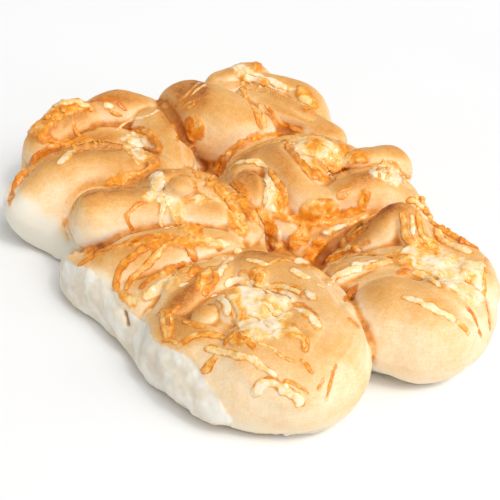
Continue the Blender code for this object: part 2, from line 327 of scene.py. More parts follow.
# Folds between the strands: (depth in mm, half width in mm, pixels along the fold)
GROOVES = [
    (4.0, 4.0, [(6, 190), (14, 176), (26, 164), (40, 154), (56, 147), (72, 143), (90, 142), (108, 141),
        (122, 141)]),
    (1.2, 2.0, [(92, 111), (95, 119), (93, 128), (88, 135)]),
    (1.2, 2.0, [(60, 110), (63, 122), (61, 133)]),
    (3.0, 2.5, [(163, 98), (170, 108), (177, 120), (183, 134), (188, 150), (193, 166)]),
    (3.0, 4.0, [(112, 142), (126, 146), (140, 152), (146, 162), (140, 172), (128, 178), (112, 181)]),
    (2.0, 2.0, [(67, 236), (66, 222), (68, 206), (73, 195), (83, 186), (98, 182), (117, 183), (133, 188)]),
    (4.0, 4.0, [(250, 82), (267, 92), (283, 100), (296, 109), (312, 117)]),
    (4.0, 3.0, [(217, 76), (230, 77), (243, 78)]),
    (5.0, 4.5, [(205, 178), (212, 172), (219, 161), (226, 152), (236, 143), (250, 137), (264, 132),
        (283, 129), (298, 128)]),
    (1.6, 1.6, [(232, 180), (236, 172), (246, 167), (256, 169), (262, 176), (263, 188), (262, 200),
        (256, 210)]),
    (3.0, 3.5, [(286, 142), (297, 158), (308, 170), (320, 181), (332, 177), (345, 171)]),
    (3.5, 3.0, [(330, 172), (348, 166), (366, 163), (380, 160), (392, 164), (404, 174), (413, 184)]),
    (4.0, 5.0, [(316, 259), (328, 250), (340, 240), (351, 231), (360, 223)]),
    (2.0, 1.8, [(326, 264), (340, 255), (355, 252), (372, 252), (388, 254), (398, 258)]),
    (1.2, 1.5, [(330, 272), (346, 262), (362, 259), (380, 259), (396, 260)]),
    (2.0, 2.5, [(338, 284), (352, 277), (368, 270), (385, 267), (398, 268), (415, 274), (430, 282),
        (446, 294), (458, 304), (470, 318)]),
    (3.0, 3.0, [(296, 256), (316, 264), (332, 282), (344, 299)]),
    (1.6, 1.4, [(344, 299), (358, 316), (367, 330), (370, 350), (368, 368)]),
    (3.5, 3.0, [(152, 310), (159, 298), (170, 288), (183, 279), (198, 268), (213, 261), (226, 255),
        (238, 247), (250, 243), (265, 241), (285, 244), (300, 252)]),
    (1.6, 2.5, [(76, 252), (95, 248), (115, 243), (135, 239), (155, 236), (175, 237), (195, 238),
        (212, 240)]),
    (2.5, 0.9, [(121, 311), (123, 317), (125, 325)]),
    (0.7, 0.6, [(72, 286), (77, 284), (80, 289), (76, 294), (82, 298)]),
    (1.2, 1.3, [(170, 190), (170, 181), (176, 175), (185, 174), (193, 178), (197, 186), (193, 194),
        (184, 197), (175, 196)]),
    (4.0, 5.0, [(198, 172), (212, 182), (229, 198), (238, 212), (244, 224), (250, 242)]),
    (1.2, 4.0, [(255, 218), (268, 228), (280, 240), (292, 248)]),
    (3.0, 5.0, [(300, 225), (318, 222), (338, 216), (356, 211)]),
    (1.5, 1.5, [(272, 172), (283, 186), (287, 198), (281, 212)]),
]

# Strips of cheese: (browning from 0 to 1, width in mm, pixels along the strip)
STRIPS = [
    # front left knot
    (0.02, 4.2, [(253, 397), (259, 386), (269, 382), (279, 386), (289, 392), (297, 399), (304, 407)]),
    (0.75, 1.8, [(256, 386), (264, 379), (276, 377)]),
    (0.60, 1.6, [(281, 381), (292, 382), (302, 387), (309, 396)]),
    (0.18, 3.0, [(203, 348), (219, 351), (236, 356), (253, 359), (261, 366), (271, 373), (279, 379)]),
    (0.55, 3.0, [(218, 353), (211, 363), (206, 370), (199, 372)]),
    (0.50, 3.0, [(176, 348), (186, 340), (198, 336), (213, 334), (228, 339), (236, 336)]),
    (0.55, 2.6, [(183, 320), (193, 325), (206, 328)]),
    (0.60, 2.4, [(160, 311), (168, 312), (168, 323), (170, 333), (170, 340)]),
    (0.60, 2.0, [(170, 315), (176, 309), (181, 305)]),
    (0.55, 2.2, [(161, 341), (173, 340), (178, 346)]),
    (0.05, 2.0, [(178, 287), (183, 284), (189, 284)]),
    (0.65, 3.0, [(203, 268), (199, 275), (198, 286), (195, 293)]),
    (0.60, 3.0, [(213, 266), (216, 278), (210, 288), (200, 295)]),
    (0.05, 3.4, [(241, 248), (231, 258), (223, 266), (219, 277)]),
    (0.10, 3.0, [(246, 259), (258, 263), (269, 265)]),
    (0.55, 2.8, [(267, 265), (279, 260), (291, 262)]),
    (0.05, 3.8, [(293, 261), (301, 262), (309, 265)]),
    (0.08, 3.8, [(291, 268), (299, 275), (312, 278)]),
    (0.15, 2.6, [(316, 283), (326, 288)]),
    (0.60, 1.8, [(239, 277), (241, 272), (248, 270)]),
    (0.55, 2.2, [(256, 281), (262, 276), (266, 268)]),
    (0.20, 2.8, [(248, 281), (261, 286), (276, 286), (291, 288), (301, 295)]),
    (0.04, 4.0, [(304, 290), (310, 295), (316, 301)]),
    (0.10, 4.0, [(293, 308), (303, 312), (313, 318), (320, 329)]),
    (0.70, 2.2, [(291, 305), (301, 305), (311, 310), (320, 318)]),
    (0.55, 1.8, [(296, 323), (292, 329), (301, 331)]),
    (0.50, 1.8, [(286, 334), (297, 336), (304, 343), (303, 350)]),
    (0.65, 1.8, [(308, 333), (307, 346), (304, 353)]),
    (0.35, 1.4, [(256, 343), (269, 346), (281, 356), (296, 363)]),
    (0.60, 1.8, [(300, 358), (307, 366), (315, 376)]),
    (0.65, 2.4, [(224, 347), (229, 337), (243, 335), (249, 344), (256, 350)]),
    (0.05, 3.6, [(210, 298), (219, 295), (226, 306), (228, 318)]),
    (0.60, 1.3, [(222, 289), (227, 300), (230, 312), (234, 325)]),
    (0.60, 1.2, [(206, 304), (213, 304), (219, 310), (221, 319)]),
    (0.08, 3.4, [(224, 286), (234, 281), (246, 283), (257, 289)]),
    (0.55, 1.5, [(272, 284), (283, 284), (294, 286), (302, 290)]),
    (0.60, 1.4, [(299, 289), (301, 295), (303, 300)]),
    (0.60, 2.2, [(311, 322), (317, 327), (322, 334)]),
    (0.50, 2.0, [(259, 288), (265, 292), (271, 297)]),
    (0.20, 2.2, [(262, 302), (270, 308), (276, 316), (286, 320)]),
    (0.05, 2.6, [(246, 312), (256, 316), (266, 324), (276, 328)]),
    (0.75, 1.8, [(336, 364), (332, 376), (329, 389), (325, 404)]),
    (0.55, 1.4, [(324, 376), (321, 386), (317, 391)]),
    # middle left knot
    (0.72, 3.8, [(77, 267), (87, 260), (97, 253), (108, 249), (120, 245), (131, 241), (143, 238),
        (156, 235)]),
    (0.70, 3.8, [(118, 292), (116, 282), (119, 271), (126, 262), (134, 255), (144, 249), (154, 242),
        (162, 238)]),
    (0.52, 3.4, [(126, 291), (130, 281), (138, 273), (147, 266), (154, 257), (162, 249), (170, 243)]),
    (0.70, 3.8, [(139, 289), (147, 282), (157, 275), (167, 270), (177, 267), (188, 263)]),
    (0.75, 4.0, [(184, 243), (190, 249), (195, 259), (195, 270), (189, 277)]),
    (0.72, 1.8, [(148, 202), (138, 204), (131, 210), (126, 216), (129, 224), (134, 231)]),
    (0.05, 2.8, [(157, 197), (163, 202), (163, 211), (160, 217), (161, 225), (167, 229), (175, 225)]),
    (0.55, 1.3, [(159, 202), (160, 212), (157, 219), (158, 227)]),
    (0.45, 1.2, [(183, 204), (183, 213), (183, 222)]),
    (0.40, 1.3, [(184, 204), (195, 200), (204, 199), (213, 200)]),
    (0.65, 1.8, [(170, 190), (170, 182), (176, 177), (184, 176), (192, 179), (196, 187), (190, 195),
        (181, 197)]),
    (0.60, 3.0, [(170, 172), (182, 169), (193, 170), (199, 179)]),
    (0.50, 4.6, [(209, 179), (219, 188), (227, 198), (231, 208), (239, 217), (246, 227)]),
    # front right knot
    (0.12, 3.0, [(401, 297), (408, 298), (417, 301), (428, 306), (438, 310), (448, 315), (457, 321)]),
    (0.45, 2.8, [(456, 321), (464, 328), (470, 335)]),
    (0.75, 3.8, [(398, 275), (405, 271), (413, 272)]),
    (0.18, 3.6, [(411, 271), (420, 274), (429, 279), (436, 283), (443, 289)]),
    (0.80, 1.6, [(466, 306), (473, 315), (478, 327), (482, 338)]),
    (0.10, 3.0, [(361, 281), (357, 285)]),
    (0.85, 3.2, [(358, 284), (353, 291), (348, 297), (345, 303)]),
    (0.08, 3.2, [(328, 286), (334, 278), (343, 273), (354, 270), (364, 268)]),
    (0.30, 3.4, [(362, 268), (376, 265), (389, 263), (396, 263)]),
    (0.15, 2.8, [(325, 264), (333, 256), (343, 251), (351, 249), (364, 251)]),
    (0.45, 2.6, [(346, 257), (362, 254), (376, 255), (389, 256), (402, 255)]),
    (0.40, 3.4, [(402, 210), (404, 223), (404, 232), (406, 238), (411, 242), (416, 245)]),
    (0.10, 2.4, [(411, 214), (413, 225), (414, 236)]),
    (0.38, 3.0, [(416, 205), (418, 218), (420, 230), (424, 238), (430, 243)]),
    (0.60, 2.0, [(486, 256), (485, 269), (484, 282), (484, 291), (486, 307), (489, 320), (490, 333)]),
    # middle right knot
    (0.22, 3.0, [(229, 172), (231, 168), (238, 163), (250, 161), (260, 163), (269, 168)]),
    (0.55, 4.2, [(269, 169), (273, 176), (280, 186), (285, 196), (282, 206), (279, 214)]),
    (0.00, 3.0, [(266, 173), (268, 184), (266, 196), (264, 205)]),
    (0.55, 4.2, [(234, 179), (241, 190), (247, 198), (253, 211), (250, 221)]),
    (0.62, 4.0, [(285, 140), (291, 152), (298, 160), (305, 167), (313, 175), (321, 179)]),
    (0.05, 2.4, [(290, 138), (294, 144), (296, 150)]),
    (0.45, 1.6, [(386, 160), (395, 164), (401, 171), (411, 179)]),
    (0.60, 1.6, [(354, 187), (345, 189), (338, 193), (338, 199), (345, 196), (352, 190)]),
    (0.05, 3.0, [(371, 176), (380, 172), (389, 170), (398, 177), (404, 184)]),
    (0.08, 2.6, [(383, 182), (390, 178), (386, 170)]),
    (0.66, 2.8, [(368, 190), (367, 196), (365, 203)]),
    # back left knot
    (0.72, 3.8, [(10, 206), (12, 195), (17, 183), (23, 174), (31, 164), (38, 156), (47, 150), (57, 145),
        (69, 141)]),
    (0.12, 6.0, [(58, 165), (63, 160), (69, 155), (75, 151)]),
    (0.60, 2.2, [(71, 155), (75, 151), (78, 146)]),
    (0.88, 2.6, [(89, 102), (99, 99), (110, 99), (120, 104), (127, 111)]),
    (0.02, 3.8, [(103, 104), (109, 105), (115, 109)]),
    (0.60, 2.0, [(105, 108), (112, 113), (125, 117)]),
    (0.10, 2.2, [(117, 131), (125, 123), (135, 119), (144, 117), (153, 114), (160, 109)]),
    (0.62, 2.8, [(129, 132), (138, 131), (145, 131), (153, 137), (158, 145), (162, 154)]),
    (0.45, 2.8, [(122, 146), (129, 153), (134, 159), (140, 167)]),
    (0.65, 2.8, [(152, 151), (153, 160), (153, 168)]),
    (0.60, 1.8, [(72, 115), (73, 124), (75, 131), (80, 136), (87, 137)]),
    (0.65, 2.0, [(53, 115), (56, 122), (54, 129)]),
    (0.58, 2.6, [(29, 127), (38, 134), (48, 140), (60, 143), (70, 140)]),
    (0.55, 2.0, [(34, 118), (42, 116), (52, 117)]),
    (0.70, 2.2, [(172, 123), (178, 135), (176, 143)]),
    # back right knot
    (0.50, 2.8, [(242, 80), (243, 90), (248, 100), (254, 108), (258, 120), (262, 132)]),
    (0.22, 2.4, [(258, 103), (263, 112), (264, 122), (266, 130)]),
    (0.55, 2.0, [(264, 105), (272, 112), (278, 121), (283, 126), (290, 125)]),
    (0.60, 1.6, [(180, 110), (187, 104), (195, 101), (192, 106), (184, 110)]),
    (0.62, 2.2, [(201, 82), (191, 90), (182, 99), (175, 107)]),
    (0.30, 2.0, [(206, 84), (197, 90), (189, 98)]),
    (0.05, 3.2, [(231, 69), (242, 66), (249, 74), (262, 77), (273, 82), (287, 90)]),
    (0.50, 2.2, [(286, 121), (292, 127), (298, 131), (308, 134)]),
]

# Flat melted cheese: (browning from 0 to 1, pixels round the patch)
PATCHES = [
    # front left knot
    (0.10, [(224, 291), (236, 285), (247, 286), (262, 281), (274, 286), (288, 290), (296, 300), (288, 306),
        (292, 314), (284, 322), (288, 332), (278, 338), (262, 340), (250, 343), (243, 336), (236, 326),
        (236, 312), (229, 302)]),
    (0.42, [(226, 290), (238, 291), (241, 304), (234, 306)]),
    (0.40, [(238, 308), (246, 307), (250, 318), (246, 326), (240, 320)]),
    (0.36, [(258, 297), (272, 302), (284, 304), (292, 312), (282, 314), (268, 307)]),
    (0.45, [(262, 283), (272, 284), (284, 290), (272, 291)]),
    (0.50, [(286, 331), (298, 331), (306, 338), (308, 352), (302, 352), (300, 340), (290, 336)]),
    (0.35, [(278, 320), (294, 326), (304, 334), (296, 338), (282, 334)]),
    (0.50, [(248, 272), (262, 268), (268, 276), (262, 283), (250, 280)]),
    (0.55, [(212, 268), (206, 284), (200, 292), (198, 280), (203, 270)]),
    (0.55, [(226, 338), (236, 331), (246, 334), (248, 344), (232, 346)]),
    (0.65, [(350, 318), (359, 326), (356, 329), (349, 322)]),
    (0.40, [(160, 312), (172, 314), (174, 336), (164, 340)]),
    # middle left knot
    (0.42, [(116, 290), (131, 294), (141, 299), (134, 309), (124, 302)]),
    (0.25, [(141, 294), (156, 284), (176, 272), (178, 282), (158, 296), (146, 302)]),
    (0.52, [(160, 272), (176, 264), (192, 262), (192, 274), (178, 274), (164, 278)]),
    (0.66, [(140, 244), (156, 238), (178, 238), (196, 244), (190, 250), (172, 246), (150, 250)]),
    (0.85, [(212, 239), (223, 239), (222, 251), (216, 249)]),
    (0.06, [(150, 176), (160, 171), (167, 178), (164, 190), (152, 192)]),
    (0.22, [(140, 196), (152, 190), (168, 194), (182, 200), (183, 222), (176, 226), (162, 200),
        (148, 202)]),
    (0.28, [(190, 198), (206, 194), (222, 200), (230, 212), (214, 202), (196, 204)]),
    (0.55, [(179, 223), (188, 221), (202, 224), (202, 236), (195, 239), (180, 230)]),
    (0.50, [(206, 178), (218, 182), (230, 196), (240, 214), (250, 232), (238, 236), (226, 222), (226, 206),
        (214, 190)]),
    (0.60, [(84, 254), (104, 247), (124, 241), (146, 236), (164, 232), (182, 237), (200, 238), (216, 238),
        (230, 243), (214, 248), (196, 246), (178, 244), (160, 242), (144, 245), (126, 248), (108, 253),
        (92, 260)]),
    (0.20, [(200, 238), (216, 238), (232, 242), (226, 248), (208, 246)]),
    (0.58, [(105, 182), (111, 176), (121, 173), (134, 171), (147, 168), (156, 168), (144, 176), (130, 182),
        (121, 188), (108, 188)]),
    # front right knot
    (0.12, [(392, 256), (404, 248), (416, 240), (430, 237), (440, 244), (447, 252), (463, 257), (474, 261),
        (484, 262), (486, 280), (484, 300), (478, 308), (466, 302), (444, 286), (428, 274), (410, 266)]),
    (0.46, [(414, 238), (428, 235), (440, 249), (436, 258), (420, 256)]),
    (0.06, [(422, 256), (434, 257), (436, 266), (426, 266)]),
    (0.45, [(463, 276), (474, 278), (472, 286), (466, 284)]),
    (0.50, [(392, 254), (402, 252), (414, 262), (404, 268), (394, 262)]),
    (0.58, [(326, 262), (338, 250), (352, 246), (372, 240), (366, 246), (346, 254), (334, 264)]),
    (0.15, [(352, 262), (368, 260), (384, 259), (396, 260), (386, 264), (366, 266), (352, 268)]),
    # middle right knot
    (0.62, [(210, 177), (220, 168), (234, 149), (246, 138), (258, 134), (275, 132), (284, 136), (265, 139),
        (244, 147), (230, 162), (222, 175), (212, 188), (204, 182)]),
    (0.60, [(232, 183), (246, 199), (256, 216), (251, 222), (239, 206), (230, 192)]),
    (0.16, [(266, 180), (272, 178), (282, 190), (286, 200), (278, 214), (266, 212), (258, 214),
        (266, 198)]),
    (0.62, [(270, 174), (278, 180), (288, 194), (285, 205), (279, 213), (276, 204), (280, 194)]),
    (0.50, [(252, 214), (265, 207), (274, 220), (282, 240), (284, 250), (275, 250), (263, 236)]),
    (0.54, [(272, 214), (294, 215), (300, 207), (306, 201), (323, 198), (337, 201), (341, 212), (338, 220),
        (330, 226), (313, 231), (306, 246), (291, 250), (290, 236), (299, 226), (282, 221)]),
    (0.50, [(306, 206), (322, 202), (332, 206), (330, 216), (314, 218), (305, 214)]),
    (0.36, [(296, 238), (304, 230), (310, 232), (302, 244)]),
    (0.60, [(339, 208), (352, 206), (364, 203), (366, 210), (352, 217), (340, 219)]),
    (0.10, [(322, 231), (340, 224), (356, 219), (368, 214), (360, 222), (342, 229), (326, 236)]),
    (0.62, [(304, 256), (310, 244), (320, 238), (328, 242), (320, 252), (312, 263)]),
    (0.60, [(340, 238), (352, 232), (360, 224), (366, 226), (356, 238), (344, 244)]),
    (0.26, [(282, 141), (291, 139), (315, 134), (337, 144), (344, 154), (358, 158), (344, 170), (330, 176),
        (315, 180), (306, 168), (294, 156)]),
    (0.55, [(304, 140), (314, 137), (323, 143), (320, 152), (308, 150)]),
    (0.55, [(312, 156), (318, 157), (324, 163), (336, 164), (330, 172), (318, 174), (312, 166)]),
    (0.66, [(318, 178), (330, 173), (344, 166), (348, 170), (334, 179), (322, 183)]),
    (0.62, [(339, 140), (350, 147), (366, 153), (368, 163), (352, 161), (342, 152)]),
    (0.08, [(368, 170), (380, 165), (392, 166), (402, 176), (398, 187), (386, 184), (374, 178)]),
    (0.60, [(362, 190), (369, 190), (370, 200), (364, 207), (356, 206)]),
    # back left knot
    (0.50, [(22, 126), (36, 112), (52, 104), (72, 97), (92, 109), (74, 114), (56, 122), (44, 138),
        (28, 134)]),
    (0.60, [(34, 128), (44, 129), (52, 136), (58, 140), (44, 144), (36, 138)]),
    (0.62, [(26, 118), (32, 114), (36, 120), (30, 124)]),
    (0.48, [(48, 148), (66, 140), (80, 138), (96, 138), (112, 138), (118, 142), (100, 146), (84, 146),
        (66, 150)]),
    (0.15, [(120, 140), (132, 132), (146, 134), (148, 148), (148, 160), (138, 160), (128, 150)]),
    (0.70, [(130, 128), (142, 126), (154, 132), (162, 144), (160, 156), (152, 144), (142, 134)]),
    (0.62, [(148, 150), (158, 150), (158, 168), (148, 170)]),
    # back right knot
    (0.58, [(185, 119), (196, 116), (205, 124), (204, 138), (192, 141), (186, 132)]),
    (0.08, [(231, 68), (244, 64), (258, 74), (288, 86), (296, 90), (280, 94), (258, 86), (244, 82)]),
    (0.55, [(252, 61), (260, 63), (261, 71), (254, 72)]),
    (0.50, [(261, 80), (268, 82), (268, 88), (262, 85)]),
    (0.45, [(300, 86), (312, 94), (318, 108), (312, 114), (303, 108), (296, 94)]),
    (0.60, [(302, 104), (308, 110), (316, 106), (312, 115), (304, 112)]),
    (0.42, [(258, 131), (262, 136), (246, 144), (236, 150), (226, 161), (216, 172), (210, 177), (222, 156),
        (234, 144), (246, 136)]),
]

# Raised ridges of cheese, in the form of STRIPS
RIDGES = [
    (0.40, 3.8, [(427, 216), (436, 220), (446, 223), (452, 230), (461, 236), (470, 240), (480, 245),
        (484, 251)]),
    (0.62, 3.2, [(430, 222), (438, 227), (446, 232), (455, 238), (464, 243), (473, 247), (481, 252)]),
    (0.20, 3.6, [(434, 228), (440, 236), (447, 244), (455, 247), (464, 250), (474, 254)]),
    (0.30, 3.0, [(404, 203), (412, 201), (420, 205), (426, 211)]),
    (0.36, 3.4, [(24, 122), (33, 114), (43, 108), (53, 104), (62, 101), (72, 98)]),
    (0.28, 4.0, [(36, 116), (48, 110), (60, 107), (72, 104), (84, 107), (92, 109)]),
]

# Lumps of cheese heaped in a patch: (browning, width in mm, half length in pixels, how many,
# pixels round the patch)
HEAPS = [
    (0.42, 4.2, 3.0, 9, [(24, 122), (40, 108), (56, 102), (72, 97), (92, 109), (76, 113), (58, 116),
        (40, 126)]),
    (0.25, 3.0, 3.5, 6, [(406, 200), (414, 190), (424, 196), (430, 212), (420, 214)]),
    (0.48, 3.4, 3.5, 12, [(429, 218), (448, 222), (470, 234), (484, 246), (482, 254), (462, 248),
        (444, 244), (436, 232)]),
    (0.12, 2.6, 6.0, 7, [(366, 172), (386, 164), (400, 174), (390, 184)]),
]

# Dough that baked browner than the rest, and painted shade in the crevices between knots and on the back
# knots, which get less light; paler if below 0: (how much, pixels round it)
BROWNED_AND_SHADED = [
    (0.35, [(22, 128), (36, 112), (52, 104), (72, 97), (92, 109), (92, 135), (60, 142), (40, 146),
        (26, 140)]),
    (0.45, [(26, 168), (40, 152), (58, 142), (80, 136), (105, 134), (122, 138), (122, 150), (80, 152),
        (50, 158), (32, 172)]),
    (0.45, [(100, 178), (112, 170), (130, 168), (156, 164), (160, 176), (146, 184), (130, 190),
        (108, 192)]),
    # Browner, and painted shade where the back knots get less light
    (0.22, [(338, 172), (350, 164), (380, 162), (402, 174), (404, 198), (370, 206), (340, 204)]),
    (0.24, [(224, 165), (240, 150), (262, 150), (290, 165), (292, 205), (270, 212), (246, 205),
        (232, 185)]),
    (-0.14, [(300, 248), (326, 262), (346, 294), (352, 328), (336, 340), (320, 316), (308, 284)]),
    (-0.45, [(2, 188), (20, 195), (40, 212), (62, 236), (66, 262), (48, 266), (10, 225)]),
    (-0.30, [(70, 232), (100, 232), (130, 232), (130, 240), (100, 244), (76, 250)]),
    (-0.35, [(92, 268), (106, 272), (118, 290), (112, 292), (100, 279)]),
    (0.22, [(186, 150), (200, 150), (214, 160), (210, 176), (194, 172)]),
    # Browner, and painted shade where the back knots get less light
    (0.14, [(368, 142), (392, 140), (408, 150), (411, 175), (396, 160), (376, 156)]),
    (0.14, [(262, 84), (300, 92), (334, 110), (338, 140), (310, 130), (280, 104)]),
    (0.22, [(92, 262), (120, 255), (150, 250), (175, 250), (185, 262), (165, 268), (130, 280), (105, 280)]),
    (0.22, [(232, 158), (262, 142), (285, 146), (292, 165), (262, 155), (240, 165)]),
    (0.45, [(166, 102), (170, 90), (184, 84), (204, 80), (208, 100), (190, 114), (174, 112)]),
    # Painted shade in the crease between the two back knots
    (0.8, [(160, 100), (166, 112), (171, 124), (177, 120), (172, 106), (167, 98)]),
    # Painted shade in the crease between the back right and middle right knots
    (0.40, [(213, 180), (224, 168), (240, 154), (262, 141), (250, 158), (236, 168), (226, 182)]),
    # Painted shade in the crevice between the middle right and front right knots
    (0.70, [(310, 246), (318, 234), (335, 227), (358, 219), (380, 206), (384, 214), (368, 232), (350, 246),
        (330, 254), (316, 266), (306, 258)]),
    (0.22, [(384, 214), (396, 206), (402, 212), (400, 226), (388, 228), (380, 222)]),
    (0.60, [(384, 208), (392, 205), (396, 207), (388, 212)]),
    (0.38, [(158, 322), (166, 302), (180, 288), (204, 272), (214, 282), (204, 300), (196, 318), (200, 334),
        (186, 344), (168, 346)]),
    (0.55, [(232, 252), (248, 248), (262, 246), (280, 248), (296, 253), (313, 264), (306, 266), (290, 258),
        (270, 254), (250, 254), (236, 257)]),
    (0.45, [(70, 207), (74, 196), (84, 188), (98, 185), (116, 186), (133, 192), (130, 195), (114, 190),
        (98, 189), (86, 192), (78, 199), (72, 211)]),
    (0.40, [(22, 171), (40, 158), (58, 154), (80, 151), (100, 149), (121, 149), (121, 152), (100, 153),
        (80, 155), (58, 158), (40, 163), (26, 175)]),
    # Painted shade in the crease at the left of the front right knot
    (0.25, [(318, 262), (330, 250), (345, 262), (335, 280), (324, 282)]),
    (0.28, [(90, 98), (110, 94), (132, 97), (146, 104), (130, 106), (105, 102)]),
    (0.15, [(290, 85), (330, 110), (338, 130), (320, 140), (300, 100)]),
]


def shifted(x, y):
    """A place of the strands' frame, in metres of the loaf's own frame."""
    return (x - LOAF_MIDDLE[0]) * MM, (y - LOAF_MIDDLE[1]) * MM


def knot_centre(knot):
    """The middle of a knot, from its place in the grid."""
    column, row = knot["grid"]
    x = (column - 0.5) * COLUMN_PITCH + knot["shift"][0]
    y = (row - 1) * ROW_PITCH + knot["shift"][1]
    return x, y


def smooth_curve(points, steps):
    """Points along a Catmull-Rom curve through the given ones."""
    points = np.asarray(points, float)
    ends = np.vstack([2 * points[0] - points[1], points, 2 * points[-1] - points[-2]])
    curve = []
    for i in range(len(points) - 1):
        a, b, c, d = ends[i:i + 4]
        for t in np.linspace(0, 1, steps, endpoint=False):
            curve.append(0.5 * (2 * b + (c - a) * t + (2 * a - 5 * b + 4 * c - d) * t ** 2
                                + (3 * b - a - 3 * c + d) * t ** 3))
    curve.append(points[-1])
    return np.array(curve)


def cross_frame(direction):
    """Unit vectors to the side of a direction and above it."""
    side = np.cross(direction, (0, 0, 1))
    side /= np.linalg.norm(side)
    return side, np.cross(side, direction)


def skin_rings(bm, rings, first_tip, last_tip):
    """Close a row of vertex rings with faces, and each end with a fan to its tip."""
    count = len(rings[0])
    for near, far in zip(rings, rings[1:]):
        for j in range(count):
            k = (j + 1) % count
            bm.faces.new((near[j], near[k], far[k], far[j]))
    for j in range(count):
        k = (j + 1) % count
        bm.faces.new((first_tip, rings[0][k], rings[0][j]))
        bm.faces.new((last_tip, rings[-1][j], rings[-1][k]))


def strand_curve(points):
    """Middle, radius and direction along a strand, in metres."""
    curve = smooth_curve(points, CURVE_STEPS)
    x, y = shifted(curve[:, 0], curve[:, 1])
    middle = np.stack([x, y, curve[:, 2] * MM], 1)
    along = np.gradient(middle, axis=0)
    along /= np.linalg.norm(along, axis=1)[:, None]
    return middle, curve[:, 3] * MM, along


def add_strand(bm, points):
    """A round strand of dough with hemispherical ends, flat where it meets the tray."""
    middle, radius, along = strand_curve(points)
    turn = np.linspace(0, 2 * math.pi, TUBE_SIDES, endpoint=False)[:, None]

    def ring(centre, direction, size):
        side, up = cross_frame(direction)
        places = centre + size * (np.cos(turn) * side + np.sin(turn) * up)
        return [bm.verts.new((x, y, max(z, 0.0))) for x, y, z in places]

    rings = []
    for step in range(1, CAP_RINGS):
        angle = math.pi / 2 * (1 - step / CAP_RINGS)
        back = middle[0] - along[0] * radius[0] * math.sin(angle)
        rings.append(ring(back, along[0], radius[0] * math.cos(angle)))
    for centre, direction, size in zip(middle, along, radius):
        rings.append(ring(centre, direction, size))
    for step in range(1, CAP_RINGS):
        angle = math.pi / 2 * step / CAP_RINGS
        front = middle[-1] + along[-1] * radius[-1] * math.sin(angle)
        rings.append(ring(front, along[-1], radius[-1] * math.cos(angle)))
    tips = []
    for centre in (middle[0] - along[0] * radius[0], middle[-1] + along[-1] * radius[-1]):
        tips.append(bm.verts.new((centre[0], centre[1], max(centre[2], 0.0))))
    skin_rings(bm, rings, *tips)


def add_bun(bm, centre):
    """The low dome under a knot."""
    made = bmesh.ops.create_uvsphere(bm, u_segments=BUN_SEGMENTS[0], v_segments=BUN_SEGMENTS[1],
                                     radius=1)
    for vert in made["verts"]:
        x, y = shifted(centre[0] + vert.co.x * BUN_RADIUS, centre[1] + vert.co.y * BUN_RADIUS)
        vert.co = (x, y, max(0.0, (BUN_CENTRE_HEIGHT + vert.co.z * BUN_RISE) * MM))


def all_strands():
    """Every strand of the batch, each as rows of (x, y, z, radius) in millimetres."""
    strands = []
    for knot in KNOTS.values():
        x, y = knot_centre(knot)
        for points in knot["strands"].values():
            strands.append([(px + x, py + y, pz, radius) for px, py, pz, radius in points])
    return strands


def seams():
    """Low strands between neighbouring knots, and one along the torn side."""
    centres = {knot["grid"]: knot_centre(knot) for knot in KNOTS.values()}
    rows = [TORN_BED]
    for (column, row), start in centres.items():
        for across, behind in NEIGHBOURS:
            end = centres.get((column + across, row + behind))
            if end:
                rows.append([(x, y, SEAM_HEIGHT, SEAM_RADIUS) for x, y in (start, end)])
    return rows


def wall_curve(foot):
    """Foot line, inward direction and height along a torn wall, in millimetres."""
    curve = smooth_curve(foot, CURVE_STEPS)
    along = np.gradient(curve[:, :2], axis=0)
    along /= np.linalg.norm(along, axis=1)[:, None]
    return curve[:, :2], np.stack([-along[:, 1], along[:, 0]], 1), curve[:, 2]


def add_torn_wall(bm, foot):
    """A slab behind an upright torn face, from its foot line to well inside the loaf."""
    rings = []
    for line, inward, top in zip(*wall_curve(foot)):
        ring = []
        for depth, height in ((0, 0), (TORN_LEAN, top), (TORN_INSET, top), (TORN_INSET, 0)):
            x, y = shifted(*(line + inward * depth))
            ring.append(bm.verts.new((x, y, height * MM)))
        rings.append(ring)
    for near, far in zip(rings, rings[1:]):
        for j in range(4):
            k = (j + 1) % 4
            bm.faces.new((near[j], near[k], far[k], far[j]))
    bm.faces.new(rings[0][::-1])
    bm.faces.new(rings[-1])


def mesh_object(name, bm):
    """A new piece from a built mesh, its faces turned outward."""
    mesh = bpy.data.meshes.new(name)
    bmesh.ops.recalc_face_normals(bm, faces=bm.faces)
    bm.to_mesh(mesh)
    bm.free()
    body = bpy.data.objects.new(name, mesh)
    bpy.context.collection.objects.link(body)
    return body


def apply_modifiers(body):
    """Keep what the modifiers make of a mesh, and drop the modifiers."""
    graph = bpy.context.evaluated_depsgraph_get()
    made = bpy.data.meshes.new_from_object(body.evaluated_get(graph))
    body.modifiers.clear()
    body.data = made


def keep_outer_skin(body):
    """Fill sealed hollows and drop loose scraps, by keeping only the largest skin."""
    bm = bmesh.new()
    bm.from_mesh(body.data)
    unseen = set(bm.verts)
    skins = []
    while unseen:
        first = unseen.pop()
        skin = {first}
        edge_of_skin = [first]
        while edge_of_skin:
            vert = edge_of_skin.pop()
            for edge in vert.link_edges:
                other = edge.other_vert(vert)
                if other in unseen:
                    unseen.discard(other)
                    skin.add(other)
                    edge_of_skin.append(other)
        skins.append(skin)
    outer = max(skins, key=len)
    scraps = [vert for skin in skins if skin is not outer for vert in skin]
    bmesh.ops.delete(bm, geom=scraps, context="VERTS")
    bm.to_mesh(body.data)
    bm.free()


